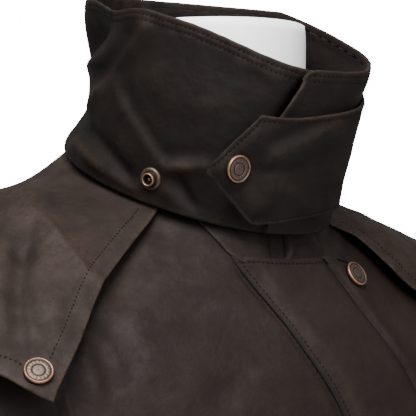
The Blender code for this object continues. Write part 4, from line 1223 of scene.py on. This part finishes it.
# The pole's foot has a small collar.
pole_low, pole_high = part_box("form_pole")
pole_z = pole_low.z + np.array([0.0, 0.0005, 0.012, 0.0125, 0.014, 0.4, 0.6])
pole_z = np.append(pole_z, pole_high.z)[:, None]
pole_r = POLE_RADIUS + np.array([0.006, 0.0065, 0.0065, 0.006, 0.0, 0.0, 0.0, 0.0])[:, None]
circle = np.linspace(0, 2 * math.pi, 48, endpoint=False)
pole_x, pole_y, pole_z = np.broadcast_arrays(pole_r * np.cos(circle), pole_r * np.sin(circle), pole_z)
pole_piece = solid_piece("stand_pole", "form_pole", np.stack([pole_x, pole_y, pole_z], -1))

# %% [markdown]
# ## Finishes
# Waxed cotton is a tight twill soaked in dark wax. It has three scales: the twill's ribs, the mottling where
# wax is thicker or thinner, and pale rub marks on folds and edges where wax has gone. The twill follows the
# UV map, which holds metres on the flat cloth, and the mottling follows Object coordinates.

# %% Node helpers


class Finish:
    """A Principled material and short ways to add the nodes that feed it."""

    def __init__(self, name):
        self.material = bpy.data.materials.new(name)
        self.material.use_nodes = True
        self.tree = self.material.node_tree
        self.shader = self.tree.nodes["Principled BSDF"]
        self.place = self.node("ShaderNodeTexCoord").outputs["Object"]

    def node(self, kind, **settings):
        """A new node; a setting is a socket's value or link, or else an attribute."""
        made = self.tree.nodes.new(kind)
        for key, value in settings.items():
            if key in made.inputs:
                self.feed(made.inputs[key], value)
            else:
                setattr(made, key, value)
        return made

    def feed(self, socket, value):
        """Links another node's output to the socket, or sets the socket to a constant."""
        if isinstance(value, bpy.types.NodeSocket):
            self.tree.links.new(value, socket)
        else:
            socket.default_value = value

    def feed_all(self, sockets, values):
        for socket, value in zip(sockets, values):
            self.feed(socket, value)

    def noise(self, scale, detail=3.0, rough=0.55):
        settings = {"Vector": self.place, "Scale": scale, "Detail": detail, "Roughness": rough}
        return self.node("ShaderNodeTexNoise", **settings).outputs[0]

    def worn(self):
        """The wear and painted shade that the mesh carries: wear above 0, painted shade below."""
        return self.node("ShaderNodeAttribute", attribute_name="wear").outputs["Fac"]

    def between(self, value, low, high, out_low=0.0, out_high=1.0):
        """A smooth step from out_low, where the value is low, to out_high, where it is high."""
        made = self.node("ShaderNodeMapRange", interpolation_type="SMOOTHSTEP")
        self.feed_all(made.inputs, (value, low, high, out_low, out_high))
        return made.outputs[0]

    def maths(self, operation, a, b):
        made = self.node("ShaderNodeMath", operation=operation)
        self.feed_all(made.inputs, (a, b))
        return made.outputs[0]

    def mix(self, share, a, b):
        """Colours a and b, mixed by the share of b; a plain colour has three parts."""
        made = self.node("ShaderNodeMix", data_type="RGBA")
        colours = [(*part, 1) if isinstance(part, tuple) else part for part in (a, b)]
        self.feed_all((made.inputs[0], made.inputs[6], made.inputs[7]), (share, *colours))
        return made.outputs[2]

    def bumped(self, height, strength, distance, under=None):
        made = self.node("ShaderNodeBump", Strength=strength, Distance=distance, Height=height)
        if under is not None:
            self.feed(made.inputs["Normal"], under)
        return made.outputs[0]

    def done(self, **values):
        """Feeds the shader and gives the material."""
        for key, value in values.items():
            self.feed(self.shader.inputs[key.replace("_", " ")], value)
        return self.material


def dimmed(colour, share):
    return tuple(share * part for part in colour)


PAINTED_SHADE_COLOUR = (0.0010, 0.0007, 0.0005)
TWILL_PITCH, TWILL_ANGLE = 0.0009, math.radians(62)
WAVE_PERIOD = 0.314  # the length of one wave of the Wave texture at scale 1


def waxed_cotton(name, deep, body, rubbed):
    """Twill ribs, wax mottling and rub marks over one dark brown."""
    finish = Finish(name)
    flat = finish.node("ShaderNodeUVMap", uv_map="flat_cloth").outputs[0]
    worn = finish.worn()
    broad = finish.noise(14, 4)
    middle = finish.noise(75, 5, 0.62)
    fine = finish.noise(420, 3, 0.7)
    weave = finish.noise(1300, 2, 0.8)
    # Colour: the mottled wax, pale streaks, rubbed folds and edges, painted shade in the gaps, and dark
    # specks.
    tone = finish.maths("ADD", finish.maths("MULTIPLY", broad, 0.5), finish.maths("MULTIPLY", middle, 0.5))
    base = finish.mix(finish.between(tone, 0.36, 0.66), deep, body)
    streak = finish.between(finish.noise(26, 6, 0.5), 0.56, 0.74, 0.0, 0.16)
    base = finish.mix(streak, base, rubbed)
    rub = finish.maths("MULTIPLY", worn, finish.between(fine, 0.30, 0.62))
    rub = finish.maths("MULTIPLY", rub, finish.between(middle, 0.25, 0.6, 0.30, 0.85))
    base = finish.mix(rub, base, rubbed)
    # Painted shade: where the wear value is below 0, the colour goes most of the way to near black, for
    # shadow in narrow gaps and troughs.
    base = finish.mix(finish.between(worn, -0.8, -0.05, 0.9, 0.0), base, PAINTED_SHADE_COLOUR)
    speck = finish.maths("ADD", weave, finish.maths("MULTIPLY", fine, 0.6))
    speck = finish.maths("MULTIPLY", finish.between(speck, 0.62, 0.98), 0.30)
    base = finish.mix(speck, base, dimmed(deep, 0.25))
    # Bumps, each with its strength and height in metres: crushed wax, a net of fine creases where a noise
    # crosses one half, two scales of mottling, and the twill.
    turned = finish.node("ShaderNodeMapping", Vector=flat, Rotation=(0, 0, TWILL_ANGLE)).outputs[0]
    twill = {"Scale": WAVE_PERIOD / TWILL_PITCH, "Distortion": 3.0, "Detail": 2.0}
    ribs = finish.node("ShaderNodeTexWave", Vector=turned, **twill)
    crush = finish.noise(190, 4, 0.6)
    crinkle = finish.maths("SUBTRACT", finish.noise(30, 3, 0.45), 0.5)
    crinkle = finish.between(finish.maths("ABSOLUTE", crinkle, 0.0), 0.0, 0.06)
    normal = None
    for height, strength, distance in (
        (crush, 0.28, 0.0010), (crinkle, 0.14, 0.0007), (middle, 0.22, 0.0028), (fine, 0.25, 0.0004),
        (ribs.outputs["Fac"], 0.14, 0.0002),
    ):
        normal = finish.bumped(height, strength, distance, normal)
    rough = finish.between(middle, 0.3, 0.7, 0.76, 0.62)
    return finish.done(Base_Color=base, Roughness=rough, Specular_IOR_Level=0.13, Normal=normal)


def thread_finish(name, colour):
    """A matt twisted thread: a fine noise for its plies."""
    finish = Finish(name)
    twist = finish.noise(2600, 2)
    base = finish.mix(twist, colour, dimmed(colour, 0.6))
    normal = finish.bumped(twist, 0.4, 0.0002)
    return finish.done(Base_Color=base, Roughness=0.9, Specular_IOR_Level=0.05, Normal=normal)


def aged_copper(name):
    """Near-black patina in the hollows, a dull brown-grey face, and bright copper where the rim is worn."""
    finish = Finish(name)
    worn = finish.worn()
    grain = finish.noise(900, 4, 0.65)
    spots = finish.noise(300, 3)
    face = finish.mix(grain, (0.050, 0.034, 0.026), (0.112, 0.080, 0.064))
    bright = finish.mix(grain, (0.200, 0.088, 0.050), (0.320, 0.155, 0.098))
    base = finish.mix(finish.between(worn, 0.05, 0.45), (0.016, 0.011, 0.009), face)
    shown = finish.between(spots, 0.3, 0.6, 0.45, 1.0)
    shown = finish.maths("MULTIPLY", finish.between(worn, 0.55, 0.95), shown)
    rough = finish.between(grain, 0.3, 0.7, 0.36, 0.56)
    normal = finish.bumped(grain, 0.25, 0.0002)
    base = finish.mix(shown, base, bright)
    return finish.done(Base_Color=base, Metallic=0.8, Roughness=rough, Normal=normal)


def smooth_cover(name, colour, rough, metallic=0.0):
    """An even cover, with the faintest cloudiness and grain."""
    finish = Finish(name)
    cloudy = finish.noise(9, 3)
    normal = finish.bumped(finish.noise(700, 2), 0.08, 0.0002)
    base = finish.mix(cloudy, colour, dimmed(colour, 0.965))
    rough = finish.between(cloudy, 0.2, 0.8, rough - 0.05, rough + 0.05)
    return finish.done(Base_Color=base, Metallic=metallic, Roughness=rough, Normal=normal)


# %% Dress every piece
# Columns of the cotton: the wax's deep colour, its body colour and the rubbed cloth.
cotton_body = waxed_cotton(
    "waxed_cotton_body", (0.0084, 0.0050, 0.0040), (0.0134, 0.0086, 0.0071), (0.036, 0.023, 0.016)
)
# The cape's cotton is the body's, made paler: painted light for the shoulder's top, which faces the lamps
# above.
cotton_cape_painted_light = waxed_cotton(
    "waxed_cotton_cape_painted_light", (0.0108, 0.0066, 0.0053), (0.0180, 0.0117, 0.0096), (0.044, 0.028, 0.020)
)
# The collar's and tab's cotton is the body's, made darker: painted shade for the collar's upright walls and
# hollows, which the lamps above reach little.
cotton_collar_painted_shade = waxed_cotton(
    "waxed_cotton_collar_painted_shade", (0.0036, 0.0019, 0.0014), (0.0072, 0.0042, 0.0033), (0.030, 0.019, 0.013)
)
thread = thread_finish("waxed_thread", (0.0062, 0.0042, 0.0034))
copper = aged_copper("aged_copper")
form_white = smooth_cover("form_white", (0.96, 0.96, 0.955), 0.5)
stand_grey = smooth_cover("stand_grey", (0.42, 0.42, 0.43), 0.42, 0.3)

body_pieces = (
    right_front_piece, left_front_piece, back_piece, flap_piece, right_sleeve_piece, left_sleeve_piece,
)
for material, dressed in (
    (cotton_body, body_pieces), (cotton_cape_painted_light, [cape_piece]), (cotton_collar_painted_shade, [collar_piece, tab_piece]),
    (thread, thread_pieces.values()), (copper, snap_pieces), (form_white, [form_piece]),
    (stand_grey, [base_piece, pole_piece]),
):
    for piece in dressed:
        piece.data.materials.append(material)

# %% [markdown]
# ## What each sheet was cut to
# Each piece of cloth prints, as it is made, the rectangle that its flat cut fits in and the area that the cut
# itself covers.

# %% [markdown]
# ## Floor and light
# The picture is a plain studio shot on white: broad soft light from above and in front, so the shoulder's
# top is palest, and enough light from all round to keep the dark cloth readable. A third lamp behind lifts
# the back. The sky that the camera sees is brighter than the one that lights the coat, for a white ground.

# %% Floor, world and lamps
FLOOR_HALF, LIGHTING_SKY, SEEN_SKY = 4, 0.34, 16.0
floor_mesh = bpy.data.meshes.new("studio_floor")
corners = [(x * FLOOR_HALF, y * FLOOR_HALF, 0) for x, y in ((-1, -1), (1, -1), (1, 1), (-1, 1))]
floor_mesh.from_pydata(corners, [], [(0, 1, 2, 3)])
floor = bpy.data.objects.new("studio_floor", floor_mesh)
bpy.context.scene.collection.objects.link(floor)
floor_mesh.materials.append(smooth_cover("floor_white", (0.86, 0.86, 0.86), 0.8))

world = bpy.data.worlds.new("studio")
bpy.context.scene.world = world
world.use_nodes = True
tree = world.node_tree
skies = [tree.nodes["Background"], tree.nodes.new("ShaderNodeBackground")]
for sky, strength in zip(skies, (LIGHTING_SKY, SEEN_SKY)):
    sky.inputs["Color"].default_value = (1.0, 1.0, 1.0, 1)
    sky.inputs["Strength"].default_value = strength
light_path = tree.nodes.new("ShaderNodeLightPath")
choose = tree.nodes.new("ShaderNodeMixShader")
tree.links.new(light_path.outputs["Is Camera Ray"], choose.inputs[0])
tree.links.new(skies[0].outputs[0], choose.inputs[1])
tree.links.new(skies[1].outputs[0], choose.inputs[2])
tree.links.new(choose.outputs[0], tree.nodes["World Output"].inputs["Surface"])


def softbox(name, place, aim, size, power):
    """A square area lamp that looks from its place to its aim."""
    data = bpy.data.lights.new(name, "AREA")
    data.shape = "RECTANGLE"
    data.size, data.size_y = size
    data.energy = power
    lamp = bpy.data.objects.new(name, data)
    bpy.context.scene.collection.objects.link(lamp)
    lamp.location = place
    lamp.rotation_euler = (Vector(aim) - Vector(place)).to_track_quat("-Z", "Y").to_euler()
    return lamp


softbox("softbox_above", (-1.0, -0.95, 3.1), (0.0, 0.0, 1.35), (1.6, 1.6), 162)
softbox("softbox_front", (-0.5, -2.5, 2.0), (0.0, 0.0, 1.40), (1.2, 1.4), 44)
# The lamp behind only lifts the back: without glossy rays it draws no pale rim in the picture.
behind = softbox("softbox_behind", (1.6, 2.4, 2.2), (0.0, 0.0, 1.20), (1.6, 1.6), 80)
behind.visible_glossy = False
